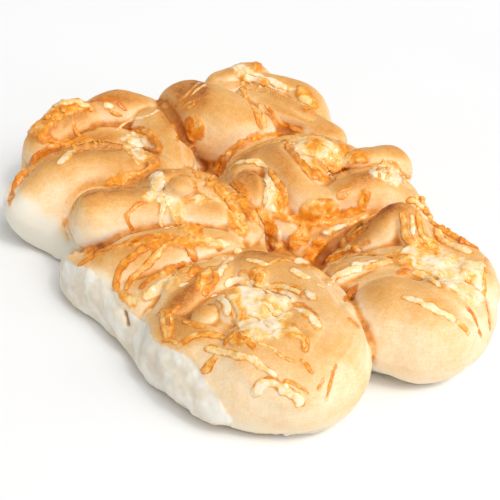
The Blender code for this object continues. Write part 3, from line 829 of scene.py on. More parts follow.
def make_dough(name):
    """Every bun, strand and torn wall as one closed skin with soft creases."""
    bm = bmesh.new()
    for knot in KNOTS.values():
        add_bun(bm, knot_centre(knot))
    for points in all_strands() + seams():
        add_strand(bm, points)
    for foot in TORN_WALLS.values():
        add_torn_wall(bm, foot)
    dough = mesh_object(name, bm)
    remesh = dough.modifiers.new("skin", "REMESH")
    remesh.mode = "VOXEL"
    remesh.voxel_size = DOUGH_VOXEL
    soften = dough.modifiers.new("soft_creases", "SMOOTH")
    soften.factor = CREASE_SOFTENING
    soften.iterations = CREASE_PASSES
    apply_modifiers(dough)
    keep_outer_skin(dough)
    return dough


# Reading and writing a mesh as arrays

def points_of(mesh):
    flat = np.empty(len(mesh.vertices) * 3)
    mesh.vertices.foreach_get("co", flat)
    return flat.reshape(-1, 3)


def normals_of(mesh):
    flat = np.empty(len(mesh.vertices) * 3)
    mesh.vertex_normals.foreach_get("vector", flat)
    return flat.reshape(-1, 3)


def edges_of(mesh):
    flat = np.empty(len(mesh.edges) * 2, dtype=np.int32)
    mesh.edges.foreach_get("vertices", flat)
    return flat.reshape(-1, 2)


def set_points(mesh, places):
    mesh.vertices.foreach_set("co", places.ravel())
    mesh.update()


def store(mesh, name, values):
    """Keep a number or a vector for each vertex, for the material to read."""
    if values.ndim == 1:
        layer = mesh.attributes.new(name, "FLOAT", "POINT")
        layer.data.foreach_set("value", values.astype(np.float32))
    else:
        layer = mesh.attributes.new(name, "FLOAT_VECTOR", "POINT")
        layer.data.foreach_set("vector", values.astype(np.float32).ravel())


def spread(values, edges, rounds):
    """Average each vertex's value with its neighbours', a number of times."""
    count = len(values)
    a, b = edges[:, 0], edges[:, 1]
    valence = np.bincount(a, minlength=count) + np.bincount(b, minlength=count)
    columns = values.reshape(count, -1).copy()
    for _ in range(rounds):
        for axis in range(columns.shape[1]):
            column = columns[:, axis]
            total = np.bincount(a, column[b], count) + np.bincount(b, column[a], count)
            columns[:, axis] = (column + total / valence) / 2
    return columns.reshape(values.shape)


def unit(vectors):
    """Each row of an array at length 1."""
    return vectors / np.linalg.norm(vectors, axis=1)[:, None]


def step(low, high, values):
    """0 below low, 1 above high, and a smooth rise between them."""
    t = np.clip((values - low) / (high - low), 0, 1)
    return t * t * (3 - 2 * t)


def ripple(places, size, seed):
    """Smooth noise from about -1 to 1, with features of the given size."""
    offset = Vector([seed * apart for apart in RIPPLES_APART])
    return np.array([noise.noise(Vector(place) / size + offset) for place in places]) * 2


def rippled(places, ripples):
    """The sum of ripples, each given by its height and size in millimetres and its seed."""
    return sum(height * ripple(places, size * MM, seed) for height, size, seed in ripples)


def surface_of(body):
    """A piece's faces, to cast rays at."""
    return BVHTree.FromObject(body, bpy.context.evaluated_depsgraph_get())


# The camera, and what it sees

def camera_axes():
    """The camera's right, up and back directions."""
    back = Vector((math.sin(AZIMUTH) * math.cos(ELEVATION),
                   -math.cos(AZIMUTH) * math.cos(ELEVATION), math.sin(ELEVATION)))
    right = Vector((0, 0, 1)).cross(back).normalized()
    return right, back.cross(right), back


def seen_spot(surface, u, v):
    """Where a pixel of the view falls on the dough, with the normal there."""
    right, up, back = camera_axes()
    middle = VIEW_PIXELS / 2
    ray = right * (u - middle) + up * (middle - v) - back * FOCAL_PIXELS
    spot, normal, _, _ = surface.ray_cast(AIM + back * DISTANCE, ray.normalized())
    return spot, normal


def seen_routes(surface, pixels):
    """A line of pixels laid on the dough, cut where it jumps from one fold to another."""
    routes = [[]]
    for u, v in smooth_curve(pixels, PIXEL_STEPS):
        spot, normal = seen_spot(surface, u, v)
        route = routes[-1]
        if spot is None:
            routes.append([])
            continue
        if route and (spot - route[-1][0]).length > ROUTE_JUMP:
            route = []
            routes.append(route)
        if not route or (spot - route[-1][0]).length > ROUTE_STEP:
            route.append((spot, normal))
    return [route for route in routes if len(route) >= ROUTE_LEAST]


def hiding(surface, spot):
    """How far behind the first thing that the camera sees there a spot lies, in metres."""
    _, _, back = camera_axes()
    eye = AIM + back * DISTANCE
    hit, _, _, _ = surface.ray_cast(eye, (spot - eye).normalized())
    return (hit - spot).length if hit else 0.0


class View:
    """Where each vertex of the dough falls in the camera's view, in pixels."""

    def __init__(self, surface, places):
        right, up, back = (np.array(axis) for axis in camera_axes())
        offset = places - (np.array(AIM) + back * DISTANCE)
        depth = -(offset @ back)
        self.u = VIEW_PIXELS / 2 + FOCAL_PIXELS * (offset @ right) / depth
        self.v = VIEW_PIXELS / 2 - FOCAL_PIXELS * (offset @ up) / depth
        behind = np.array([hiding(surface, Vector(place)) for place in places])
        self.near = behind < BEHIND_REACH

    def gap(self, line, closed):
        """Millimetres from each vertex to a line of pixels, less than 0 inside a closed one."""
        ends = np.roll(line, -1, axis=0) if closed else line[1:]
        low_u, low_v = line.min(axis=0) - LINE_MARGIN
        high_u, high_v = line.max(axis=0) + LINE_MARGIN
        close = (self.near & (self.u > low_u) & (self.u < high_u)
                 & (self.v > low_v) & (self.v < high_v))
        u, v = self.u[close], self.v[close]
        least = np.full(len(u), FAR)
        within = np.zeros(len(u), bool)
        for (ua, va), (ub, vb) in zip(line, ends):
            du, dv = ub - ua, vb - va
            share = np.clip(((u - ua) * du + (v - va) * dv) / max(du * du + dv * dv, 1e-9), 0, 1)
            least = np.minimum(least, np.hypot(u - ua - share * du, v - va - share * dv))
            if closed and va != vb:
                within ^= ((va > v) != (vb > v)) & (u < du * (v - va) / dv + ua)
        gap = np.full(len(self.u), FAR)
        gap[close] = np.where(within, -least, least) * MM_PER_PIXEL
        return gap

    def patches(self, patches):
        """Millimetres to the nearest patch, and the value of the patch that counts there."""
        gap = np.full(len(self.u), FAR)
        value = np.zeros(len(self.u))
        for amount, pixels in patches:
            near = self.gap(smooth_ring(pixels, RING_STEPS), True)
            counts = (near < 0) | (near < gap)
            value[counts] = amount
            gap = np.minimum(gap, near)
        return gap, value


def smooth_ring(points, steps):
    """Points round a smooth closed curve through the given ones."""
    curve = smooth_curve(points[-2:] + points + points[:2], steps)
    return curve[2 * steps:(len(points) + 2) * steps]


def pixels_inside(polygon, spacing):
    """The places of a grid of pixels that lie in a polygon."""
    us, vs = zip(*polygon)
    return [(u, v) for v in np.arange(min(vs), max(vs), spacing)
            for u in np.arange(min(us), max(us), spacing) if inside(polygon, u, v)]


def inside(polygon, u, v):
    """Whether a pixel lies in a polygon of pixels."""
    hit = False
    for (ua, va), (ub, vb) in zip(polygon, polygon[1:] + polygon[:1]):
        if (va > v) != (vb > v) and u < (ub - ua) * (v - va) / (vb - va) + ua:
            hit = not hit
    return hit


def nearest(places, spots, reaches):
    """For each place, the least distance to a spot less its reach, and which spot that is."""
    spots = np.asarray(spots, np.float32)
    reaches = np.asarray(reaches, np.float32)
    distance = np.empty(len(places), np.float32)
    which = np.empty(len(places), np.int64)
    squares = (spots ** 2).sum(axis=1)
    for start in range(0, len(places), CHUNK):
        part = places[start:start + CHUNK].astype(np.float32)
        gap = (part ** 2).sum(axis=1)[:, None] + squares - 2 * part @ spots.T
        gap = np.sqrt(np.maximum(gap, 0)) - reaches
        best = gap.argmin(axis=1)
        which[start:start + CHUNK] = best
        distance[start:start + CHUNK] = gap[np.arange(len(part)), best]
    return distance, which


# Cheese, as strips of (browning, width, route)

def drape(surface, x, y):
    """The point of the dough straight below a place, and the normal there."""
    spot, normal, _, _ = surface.ray_cast(Vector((x, y, DROP_HEIGHT)), Vector((0, 0, -1)))
    return spot, normal


def wander(surface, start, heading, bend, length):
    """A gently curving route over the dough from a place on it."""
    x, y = start
    route = []
    for _ in range(int(length / ROUTE_STEP)):
        spot, normal = drape(surface, x, y)
        if spot is None or normal.z < STEEPEST:
            break
        if route and (spot - route[-1][0]).length > ROUTE_JUMP:
            break
        route.append((spot, normal))
        x += math.cos(heading) * ROUTE_STEP
        y += math.sin(heading) * ROUTE_STEP
        heading += bend
    return route


def laid_strips(surface, strips):
    """The strips that the camera sees."""
    return [(brown, width * MM, route) for brown, width, pixels in strips
            for route in seen_routes(surface, pixels)]


def is_hidden(surface, spot):
    """Whether the camera can't see a spot, by a margin."""
    return hiding(surface, spot) > HIDDEN_REACH


def strewn_places(draw, tries):
    """Places drawn over each knot, with the bearing of each from the knot's middle."""
    for knot in KNOTS.values():
        x, y = shifted(*knot_centre(knot))
        for _ in range(tries):
            bearing = draw.uniform(0, 2 * math.pi)
            reach = STREWN_SPREAD * math.sqrt(draw.random())
            yield (x + reach * math.cos(bearing), y + reach * math.sin(bearing)), bearing


def strewn_strips(surface, draw):
    """Strips on the sides that the camera doesn't see."""
    strips = []
    for start, bearing in strewn_places(draw, STRIP_TRIES):
        heading = bearing + math.pi / 2 + draw.uniform(*STRIP_TURNS)
        bend = draw.uniform(*STRIP_BENDS)
        route = wander(surface, start, heading, bend, draw.uniform(*STRIP_LENGTHS) * MM)
        brown = draw.uniform(*STRIP_BROWNS)
        width = draw.uniform(*STRIP_WIDTHS) * MM
        if len(route) >= STREWN_LEAST and all(is_hidden(surface, spot) for spot, _ in route):
            strips.append((brown, width, route))
    return strips


def strewn_patches(surface, draw):
    """Round patches of melted cheese, as (browning, radius, middle), where nothing is seen."""
    patches = []
    for (x, y), _ in strewn_places(draw, PATCH_TRIES):
        brown = draw.uniform(*PATCH_BROWNS)
        radius = draw.uniform(*PATCH_RADII) * MM
        spots = [drape(surface, x + dx * radius, y + dy * radius)[0] for dx, dy in PATCH_SPOTS]
        if all(spot and is_hidden(surface, spot) for spot in spots):
            patches.append((brown, radius, spots[0]))
    return patches


def heaped_shreds(surface, draw):
    """Short shreds at all angles, in the patches where cheese is heaped."""
    shreds = []
    for brown, width, reach, count, polygon in HEAPS:
        pixels = pixels_inside(polygon, HEAP_SPACING)
        for _ in range(count):
            u, v = draw.choice(pixels)
            angle = draw.uniform(0, math.pi)
            half = reach * draw.uniform(*LUMP_LENGTHS)
            across, down = half * math.cos(angle), half * math.sin(angle)
            middle = (u + draw.uniform(*LUMP_BENDS), v + draw.uniform(*LUMP_BENDS))
            ends = [(u - across, v - down), middle, (u + across, v + down)]
            tone = min(1.0, max(0.0, brown + draw.uniform(*LUMP_BROWNS)))
            broad = width * draw.uniform(*LUMP_WIDTHS) * MM
            shreds += [(tone, broad, route) for route in seen_routes(surface, ends)]
    return shreds


# The bread

def wall_mask(places, normals, foot):
    """1 on an upright wall of the torn side, 0 elsewhere."""
    line, inward, top = wall_curve(foot)
    x, y = shifted(line[:, 0], line[:, 1])
    near, _ = near_line(places, np.stack([x, y], 1))
    outward = -inward[near]
    offset = places[:, :2] - np.stack([x, y], 1)[near]
    depth = -(offset * outward).sum(axis=1) / MM
    sideways = np.abs(offset[:, 0] * outward[:, 1] - offset[:, 1] * outward[:, 0]) / MM
    facing = (normals[:, :2] * outward).sum(axis=1)
    height = places[:, 2] / MM - top[near]
    wall = step(*WALL_FACING, facing) * (1 - step(*WALL_DEPTH, depth))
    return wall * (1 - step(*WALL_ABOVE, height)) * (1 - step(*WALL_PAST, sideways))


def near_line(places, line):
    """The nearest point of a flat line for each place, and how far it is."""
    gap, near = nearest(np.column_stack([places[:, :2], np.zeros(len(places))]),
                        np.column_stack([line, np.zeros(len(line))]), np.zeros(len(line)))
    return near, gap


def strand_grain(places):
    """Coordinates along and round the nearest strand, in millimetres, for stretch marks."""
    middles, radii, tangents, lengths = [], [], [], []
    for number, points in enumerate(all_strands()):
        middle, radius, along = strand_curve(points)
        run = np.concatenate([[0], np.cumsum(np.linalg.norm(np.diff(middle, axis=0), axis=1))])
        middles.append(middle)
        radii.append(radius)
        tangents.append(along)
        lengths.append(run / MM + GRAIN_SHIFT * number)
    middles, radii = np.vstack(middles), np.concatenate(radii)
    tangents, lengths = np.vstack(tangents), np.concatenate(lengths)
    _, near = nearest(places, middles, radii)
    offset = places - middles[near]
    along = tangents[near]
    side = unit(np.cross(along, (0, 0, 1)))
    up = np.cross(side, along)
    turn = np.arctan2((offset * side).sum(axis=1), (offset * up).sum(axis=1))
    run = lengths[near] + (offset * along).sum(axis=1) / MM
    return np.stack([run, turn * radii[near] / MM, np.zeros(len(run))], 1)


def relief_of(places, normals, edges, rounds):
    """How far each place stands out from the smoothed surface, in millimetres."""
    return ((places - spread(places, edges, rounds)) * normals).sum(axis=1) / MM


def soften(places, edges, view):
    """Round off the torn walls' upper edges, and the seams in the smoothed patches."""
    near = np.full(len(places), FAR)
    for foot in TORN_WALLS.values():
        x, y = shifted(*wall_curve(foot)[0].T)
        near = np.minimum(near, near_line(places, np.stack([x, y], 1))[1] / MM)
    share = 1 - step(*TORN_SOFT_REACH, near)
    places = places + share[:, None] * (spread(places, edges, TORN_SOFT_ROUNDS) - places)
    gap, _ = view.patches([(0, pixels) for pixels in SMOOTHED])
    share = 1 - step(*SMOOTHED_REACH, gap)
    places += share[:, None] * (spread(places, edges, SMOOTHED_ROUNDS) - places)
    places[:, 2] = np.maximum(places[:, 2], 0)
    return places


def shape_dough(dough):
    """Soften the torn side, and press in the folds and creases."""
    mesh = dough.data
    places, edges = points_of(mesh), edges_of(mesh)
    view = View(surface_of(dough), places)
    places = soften(places, edges, view)
    set_points(mesh, places)
    normals = normals_of(mesh)
    depth = np.zeros(len(places))
    for deepest, half, pixels in GROOVES:
        gap = view.gap(smooth_curve(pixels, RING_STEPS), False)
        depth = np.maximum(depth, deepest * np.exp(-(gap / half) ** GROOVE_FALL))
    creases = np.clip(-relief_of(places, normals, edges, CREASE_ROUNDS), 0, DEEPEST_CREASE)
    depth = spread(depth + CREASE_DEEPENING * creases, edges, DEPTH_ROUNDS)
    depth *= step(*PRESS_HEIGHT, places[:, 2] / MM)
    places -= unit(spread(normals, edges, PRESS_ROUNDS)) * (depth * MM)[:, None]
    set_points(mesh, places)


def melted_cover(places, edges, view, patches):
    """Millimetres to the edge of melted cheese, less than 0 within it, and its browning."""
    melt, tone = view.patches(PATCHES)
    browns, radii, spots = zip(*patches)
    gap, which = nearest(places, spots, radii)
    gap = gap / MM + rippled(places, PATCH_EDGE_RIPPLES)
    closer = gap < melt
    melt[closer] = gap[closer]
    tone[closer] = np.array(browns)[which[closer]]
    return spread(melt, edges, MELT_ROUNDS), spread(tone, edges, TONE_ROUNDS)


def browned_and_shaded(edges, view):
    """How much browner than the rest each place of the dough is, from baking and from painted shade in
    crevices and on the back knots, or paler if below 0.
    """
    brown = np.zeros(len(view.u))
    for amount, pixels in BROWNED_AND_SHADED:
        gap, _ = view.patches([(amount, pixels)])
        share = amount * (1 - step(*BROWNED_AND_SHADED_FADE, gap))
        brown = np.where(np.abs(share) > np.abs(brown), share, brown)
    return spread(brown, edges, BROWNED_AND_SHADED_ROUNDS)


def gap_to_strips(places, strips):
    """Millimetres to the edge of the nearest strip, less than 0 under it."""
    spots = [spot for _, _, route in strips for spot, _ in route]
    reaches = [width / 2 * taper(i, len(route), width) for _, width, route in strips
               for i in range(len(route))]
    return nearest(places, spots, reaches)[0] / MM


def baked(normals, height, wide_relief, raw):
    """How far the dough baked, from 0 for pale to 1 for dark brown."""
    most_up, facing_up = BAKE_FACING_UP
    most_high, high_up = BAKE_HIGH_UP
    most_low, low_down = BAKE_LOW_DOWN
    bake = (BAKE_ALL + most_up * step(*facing_up, normals[:, 2]) + most_high * step(*high_up, height)
            + BAKE_ON_CRESTS * np.clip(wide_relief / CREST_RELIEF, *CREST_RANGE)
            + most_low * (1 - step(*low_down, height)))
    return bake * (1 - RAW_PALENESS * raw)


def finish_bread(bread, surface, strips, patches):
    """Relief of the crust, melted cheese and torn crumb, and what the material reads."""
    mesh = bread.data
    places, edges, normals = points_of(mesh), edges_of(mesh), normals_of(mesh)
    height = places[:, 2] / MM
    view = View(surface, places)
    relief = relief_of(places, normals, edges, RELIEF_ROUNDS)
    wide_relief = relief_of(places, normals, edges, WIDE_RELIEF_ROUNDS)
    valley = np.clip(-relief_of(places, normals, edges, VALLEY_ROUNDS), 0, DEEPEST_CREASE)

    face, _ = view.patches([(0, TORN_FACE)])
    crust_end, _ = view.patches([(0, CRUST_END)])
    wall = wall_mask(places, normals, TORN_WALLS["torn_front"])
    torn = np.maximum(wall, 1 - step(*TORN_FADE, face)) * step(*CRUST_END_FADE, crust_end)
    raw = spread(wall_mask(places, normals, TORN_WALLS["torn_back"]), edges, RAW_ROUNDS)
    melt, tone = melted_cover(places, edges, view, patches)
    strip_gap = gap_to_strips(places, strips)

    film = 1 - step(*FILM_EDGE, melt + rippled(places, FILM_EDGE_RIPPLES))
    lift = film * (FILM_THICKNESS + rippled(places, FILM_RIPPLES))
    lift += film * FILM_FILL * np.clip(-relief, 0, DEEPEST_CREASE)
    lift += STRIP_SWELLING * (1 - step(*STRIP_SWELLING_EDGE, strip_gap))
    lift += (1 - torn) * rippled(places, CRUST_RIPPLES) + torn * rippled(places, CRUMB_RIPPLES)
    lift *= step(*RELIEF_HEIGHT, height)
    set_points(mesh, places + normals * (lift * MM)[:, None])

    # The bake, with browned dough and painted shade in crevices and on the back knots added
    bake = baked(normals, height, wide_relief, raw) + browned_and_shaded(edges, view) * BROWNED_AND_SHADED_WEIGHT
    for name, values in (("bake", bake), ("crease", np.clip(-relief, *CREASE_RANGE)),
                         ("valley", spread(valley, edges, VALLEY_SOFTENING)),
                         ("melt", np.clip(melt, *MELT_RANGE)), ("tone", tone), ("torn", torn),
                         ("strip_gap", np.clip(strip_gap, *STRIP_GAP_RANGE)),
                         ("grain", strand_grain(places))):
        store(mesh, name, values)


def thin_out(body, triangles):
    """Collapse small faces until the mesh has about this many triangles."""
    body.data.calc_loop_triangles()
    decimate = body.modifiers.new("thin_out", "DECIMATE")
    decimate.ratio = min(1.0, triangles / len(body.data.loop_triangles))
    decimate.use_collapse_triangulate = True
    apply_modifiers(body)
    body.data.shade_smooth()


def taper(index, count, width):
    """How much of its width a strip has at a step of its route."""
    end = min(1.0, min(index, count - 1 - index) * ROUTE_STEP / (width * TIP_LENGTH))
    return STRIP_TIP + (1 - STRIP_TIP) * math.sqrt(1 - (1 - end) ** 2)


def smoothed_row(row):
    """A row of points with its kinks averaged out, and its ends kept."""
    for _ in range(STRIP_SMOOTHING):
        row[1:-1] = (row[:-2] + 2 * row[1:-1] + row[2:]) / 4
    return row


def strip_rows(strip, number, surface, thickness):
    """The cross-sections of a strip, as rows of points, with what its material reads."""
    brown, width, route = strip
    landed = [surface.find_nearest(spot) for spot, _ in route]
    spots = smoothed_row(np.array([spot for spot, _, _, _ in landed]))
    ups = smoothed_row(np.array([normal for _, normal, _, _ in landed]))
    along = unit(np.gradient(spots, axis=0))
    side = unit(np.cross(along, ups))
    up = np.cross(side, along)
    run = np.concatenate([[0], np.cumsum(np.linalg.norm(np.diff(spots, axis=0), axis=1))])

    def uneven(i, waves, across=0.0):
        return sum(amount * noise.noise(Vector((run[i] / (size * MM), number * STRIP_APART + seed,
                                                across))) for amount, size, seed in waves)

    rows = []
    for i, spot in enumerate(spots):
        share = taper(i, len(spots), width)
        half = width / 2 * share * (1 + uneven(i, WIDTH_WAVES))
        rise = thickness * width * share * (1 + uneven(i, RISE_WAVES))
        middle = spot + side[i] * uneven(i, SWAY_WAVES) * MM
        row = []
        for across in np.cos(np.linspace(0, math.pi, STRIP_SIDES)):
            edge = half * across * (1 + uneven(i, EDGE_WAVES, math.copysign(EDGE_APART, across)))
            dome = (1 - across ** 2) ** STRIP_DOME
            dome *= 1 + uneven(i, DOME_WAVES, across * DOME_APART)
            row.append((middle + side[i] * edge + up[i] * (rise * dome - STRIP_SINK),
                        abs(across) if 0 < i < len(spots) - 1 else 1.0))
        for across in ROOT_SPOTS:
            row.append((middle + side[i] * half * across - up[i] * STRIP_ROOT, 1.0))
        rows.append(row)
    return rows, brown


def strip_mesh(name, strips, surface, thickness):
    """All the strips as low domes that sink a little into the dough."""
    vertices, faces, browns, acrosses = [], [], [], []
    count = STRIP_SIDES + len(ROOT_SPOTS)
    for number, strip in enumerate(strips):
        rows, brown = strip_rows(strip, number, surface, thickness)
        first = len(vertices)
        for row in rows:
            vertices += [tuple(place) for place, _ in row]
            acrosses += [across for _, across in row]
            browns += [brown] * count
        for i in range(len(rows) - 1):
            for j in range(count):
                k = (j + 1) % count
                a = first + i * count
                b = a + count
                faces.append((a + j, a + k, b + k, b + j))
        faces.append(tuple(range(first, first + count))[::-1])
        faces.append(tuple(range(len(vertices) - count, len(vertices))))
    mesh = bpy.data.meshes.new(name)
    mesh.from_pydata(vertices, [], faces)
    store(mesh, "brown", np.array(browns))
    store(mesh, "across", np.array(acrosses))
    bm = bmesh.new()
    bm.from_mesh(mesh)
    bmesh.ops.recalc_face_normals(bm, faces=bm.faces)
    bm.to_mesh(mesh)
    bm.free()
    mesh.shade_smooth()
    piece = bpy.data.objects.new(name, mesh)
    bpy.context.collection.objects.link(piece)
    return piece


# Materials

def linear(red, green, blue):
    """A colour given by its 0 to 255 sRGB values, in linear light."""
    return [((c / 255 + 0.055) / 1.055) ** 2.4 for c in (red, green, blue)] + [1.0]


PALE_DOUGH = linear(238, 231, 214)
CREAM = linear(248, 224, 186)
LIGHT_GOLD = linear(241, 198, 141)
GOLD = linear(230, 172, 96)
TAN = linear(214, 144, 66)
BROWN = linear(176, 100, 32)
DARK_BROWN = linear(112, 56, 12)
CHEESE_CREAM = linear(253, 231, 198)
CHEESE_YELLOW = linear(252, 206, 128)
CHEESE_ORANGE = linear(242, 158, 42)
CHEESE_RUST = linear(222, 126, 26)
CHEESE_BROWN = linear(186, 98, 18)
FRINGE = linear(220, 132, 46)
# Orange-brown stain of cheese fat in the valleys, taken towards brown as painted shade in the deeper ones
STAIN_AND_SHADE = linear(226, 154, 70)
CRUMB_WHITE = linear(243, 238, 226)
CRUMB_SHADE = linear(232, 220, 198)
# Painted shade of the crumb's creases and pits
CRUMB_PIT_SHADE = linear(176, 138, 92)

# Noise in the materials: (scale, octaves, roughness, twist)
MOTTLE = (70.0, 4.0)
PATCHY = (260.0, 3.0)
SPECK = (1100.0, 3.0, 0.65)
STREAK = (1.0, 3.0)
RAGGED = (300.0, 3.0)
EDGE_PATCHES = (120.0, 2.0)
POOLS = (170.0, 3.0, 0.5, 0.6)
VEINS = (210.0, 3.0, 0.5, 1.0)
ORANGE_SPOTS = (130.0, 4.0, 0.6, 1.6)
CHEESE_GRAIN = (420.0, 2.0)
CRUMB_LUMPS = (110.0, 4.0)
CRUMB_TEARS = (500.0, 3.0, 0.55)
STRIP_PATCHES = (260.0, 4.0, 0.55, 0.4)
FLOOR_PATCHES = (3.0, 3.0)
BUBBLE_SCALE = 1000.0
STREAK_STRETCH = (0.07, 0.7, 1.0)

# How one value drives another: (its low, its high, what it gives at its low, and at its high)
BAKE_BY_MOTTLE = (0.25, 0.75, -0.06, 0.06)
BAKE_BY_PATCHY = (0.25, 0.75, -0.04, 0.04)
BAKE_BY_SPECK = (0.3, 0.7, -0.06, 0.06)
BAKE_BY_STREAK = (0.45, 0.75, 0.0, -0.04)
# Crust darker in the creases, partly from browning and partly as painted shade
BAKE_AND_SHADE_BY_CREASE = (0.1, 1.3, 0.0, 0.48)
VALLEY_BY_PATCHY = (0.3, 0.7, -0.3, 0.3)
# The valleys' stain, with painted shade that takes it towards brown and strengthens it in the deeper
# valleys
STAIN_AND_SHADE_BY_VALLEY = (0.9, 2.6)
STAINED_AND_SHADED_BY_VALLEY = (0.4, 2.0, 0.0, 0.88)
BROWNED_BY_PATCHES = (0.36, 0.6, 0.3, 1.0)
GAP_BY_RAGGED = (0.2, 0.8, -0.45, 0.45)
FRINGE_BY_GAP = (-0.25, 0.4, 0.8, 0.0)
MELT_BY_RAGGED = (0.2, 0.8, -0.8, 0.8)
FILM_BY_MELT = (-1.0, 0.8, 1.0, 0.0)
RIM_BY_MELT = (-1.4, -0.2, 0.0, 0.22)
TONE_BY_POOLS = (0.3, 0.7, -0.26, 0.14)
TONE_BY_VEINS = (0.0, 0.05, 0.13, 0.0)
TONE_BY_ORANGE = (0.53, 0.66, 0.0, 0.28)
SHADE_BY_LUMPS = (0.38, 0.62, 1.0, 0.0)
PIT_SHADE_BY_CREASE = (0.15, 0.9)
TORN_BY_RAGGED = (0.2, 0.8, -0.2, 0.2)
CRUMB_BY_TORN = (0.32, 0.72)
ROUGH_BY_MOTTLE = (0.3, 0.7, 0.46, 0.58)
ROUGH_BY_TONE = (0.5, 0.85, 0.16, 0.5)
ACROSS_BY_PATCHES = (0.3, 0.7, -0.16, 0.16)
EDGE_BY_ACROSS = (0.55, 0.95, 0.0, 0.36)
STRIP_TONE_BY_PATCHES = (0.3, 0.7, -0.22, 0.18)
STRIP_ROUGH_BY_PATCHES = (0.3, 0.7, 0.14, 0.3)
BUMP_BY_BUBBLES = (0.1, 0.5, 0.3, 0.0)

# The rest of the bread's and the strips' surface
DARKEST_TONE = 0.86
STRIP_TONE = (0.85, 0.08)
CRUMB_ROUGHNESS = 0.9
CRUST_BUMP = (0.3, 0.15)
CHEESE_BUMP = (1.2, 1.1)
CRUMB_BUMP = 0.5
STRIP_BUMP = 1.6
BUMP_STRENGTH = 0.9
BREAD_BUMP_HEIGHT = 0.35 * MM
STRIP_BUMP_HEIGHT = 0.3 * MM
BREAD_GLOW = (0.10, (1.0, 0.7, 0.45), 1.2 * MM)
STRIP_GLOW = (0.12, (1.0, 0.7, 0.4), 1.2 * MM)
BREAD_SPECULAR = 0.35

CRUST_COLOURS = [(0.0, PALE_DOUGH), (0.16, CREAM), (0.38, LIGHT_GOLD), (0.58, GOLD), (0.76, TAN),
                 (0.9, BROWN), (1.0, DARK_BROWN)]
CHEESE_COLOURS = [(0.0, CHEESE_CREAM), (0.28, CHEESE_YELLOW), (0.55, CHEESE_ORANGE),
                  (0.8, CHEESE_RUST), (1.0, CHEESE_BROWN)]
STAIN_AND_SHADE_COLOURS = [(0.0, STAIN_AND_SHADE), (1.0, BROWN)]


class Shader:
    """A material built node by node, around one Principled surface."""

    def __init__(self, name):
        self.material = bpy.data.materials.new(name)
        self.material.use_nodes = True
        self.tree = self.material.node_tree
        self.surface = self.tree.nodes["Principled BSDF"]

    def wire(self, socket, value):
        if isinstance(value, bpy.types.NodeSocket):
            self.tree.links.new(value, socket)
        else:
            socket.default_value = value

    def node(self, kind, settings, inputs):
        node = self.tree.nodes.new(kind)
        for key, value in settings.items():
            setattr(node, key, value)
        for key, value in inputs.items():
            self.wire(node.inputs[key], value)
        return node

    def stored(self, name, output="Fac"):
        """What the mesh keeps under a name, as a number or as the output Vector."""
        return self.node("ShaderNodeAttribute", {"attribute_name": name}, {}).outputs[output]

    def place(self):
        return self.node("ShaderNodeTexCoord", {}, {}).outputs["Object"]

    def stretch(self, vector, scale):
        node = self.node("ShaderNodeVectorMath", {"operation": "MULTIPLY"}, {0: vector, 1: scale})
        return node.outputs[0]

    def noise(self, vector, scale, detail, rough=0.5, twist=0.0):
        return self.node("ShaderNodeTexNoise", {}, {
            "Vector": vector, "Scale": scale, "Detail": detail, "Roughness": rough,
            "Distortion": twist}).outputs["Fac"]

    def cells(self, vector, scale):
        return self.node("ShaderNodeTexVoronoi", {"feature": "F1"}, {
            "Vector": vector, "Scale": scale}).outputs["Distance"]

    def math(self, operation, a, b=0.0):
        return self.node("ShaderNodeMath", {"operation": operation}, {0: a, 1: b}).outputs[0]

    def times(self, a, b):
        return self.math("MULTIPLY", a, b)

    def total(self, first, *rest):
        for value in rest:
            first = self.math("ADD", first, value)
        return first

    def driven(self, value, low, high, at_low=0.0, at_high=1.0):
        """A smooth change from one number to another as a value goes from low to high."""
        return self.node("ShaderNodeMapRange", {"interpolation_type": "SMOOTHSTEP"}, {
            "Value": value, "From Min": low, "From Max": high, "To Min": at_low,
            "To Max": at_high}).outputs["Result"]

    def ramp(self, value, stops):
        node = self.node("ShaderNodeValToRGB", {}, {"Fac": value})
        elements = node.color_ramp.elements
        while len(elements) < len(stops):
            elements.new(0.5)
        for element, (position, colour) in zip(elements, stops):
            element.position = position
            element.color = colour
        return node.outputs["Color"]

    def blend(self, kind, sockets, output, values):
        node = self.node("ShaderNodeMix", {"data_type": kind}, {})
        for index, value in zip(sockets, values):
            self.wire(node.inputs[index], value)
        return node.outputs[output]

    def mix(self, share, first, second):
        """A colour between two others."""
        return self.blend("RGBA", (0, 6, 7), 2, (share, first, second))

    def between(self, share, first, second):
        """A number between two others."""
        return self.blend("FLOAT", (0, 2, 3), 0, (share, first, second))

    def bump(self, height, distance):
        return self.node("ShaderNodeBump", {}, {
            "Height": height, "Distance": distance, "Strength": BUMP_STRENGTH}).outputs["Normal"]

    def glow(self, weight, radius, scale):
        """Light that goes a little way in, as in dough and cheese."""
        self.surface.inputs["Subsurface Weight"].default_value = weight
        self.surface.inputs["Subsurface Radius"].default_value = radius
        self.surface.inputs["Subsurface Scale"].default_value = scale

    def finish(self, **inputs):
        for key, value in inputs.items():
            self.wire(self.surface.inputs[key.replace("_", " ")], value)
        return self.material


def edge_browning(shader, place):
    """How much the edges of the cheese browned, from place to place."""
    return shader.driven(shader.noise(place, *EDGE_PATCHES), *BROWNED_BY_PATCHES)


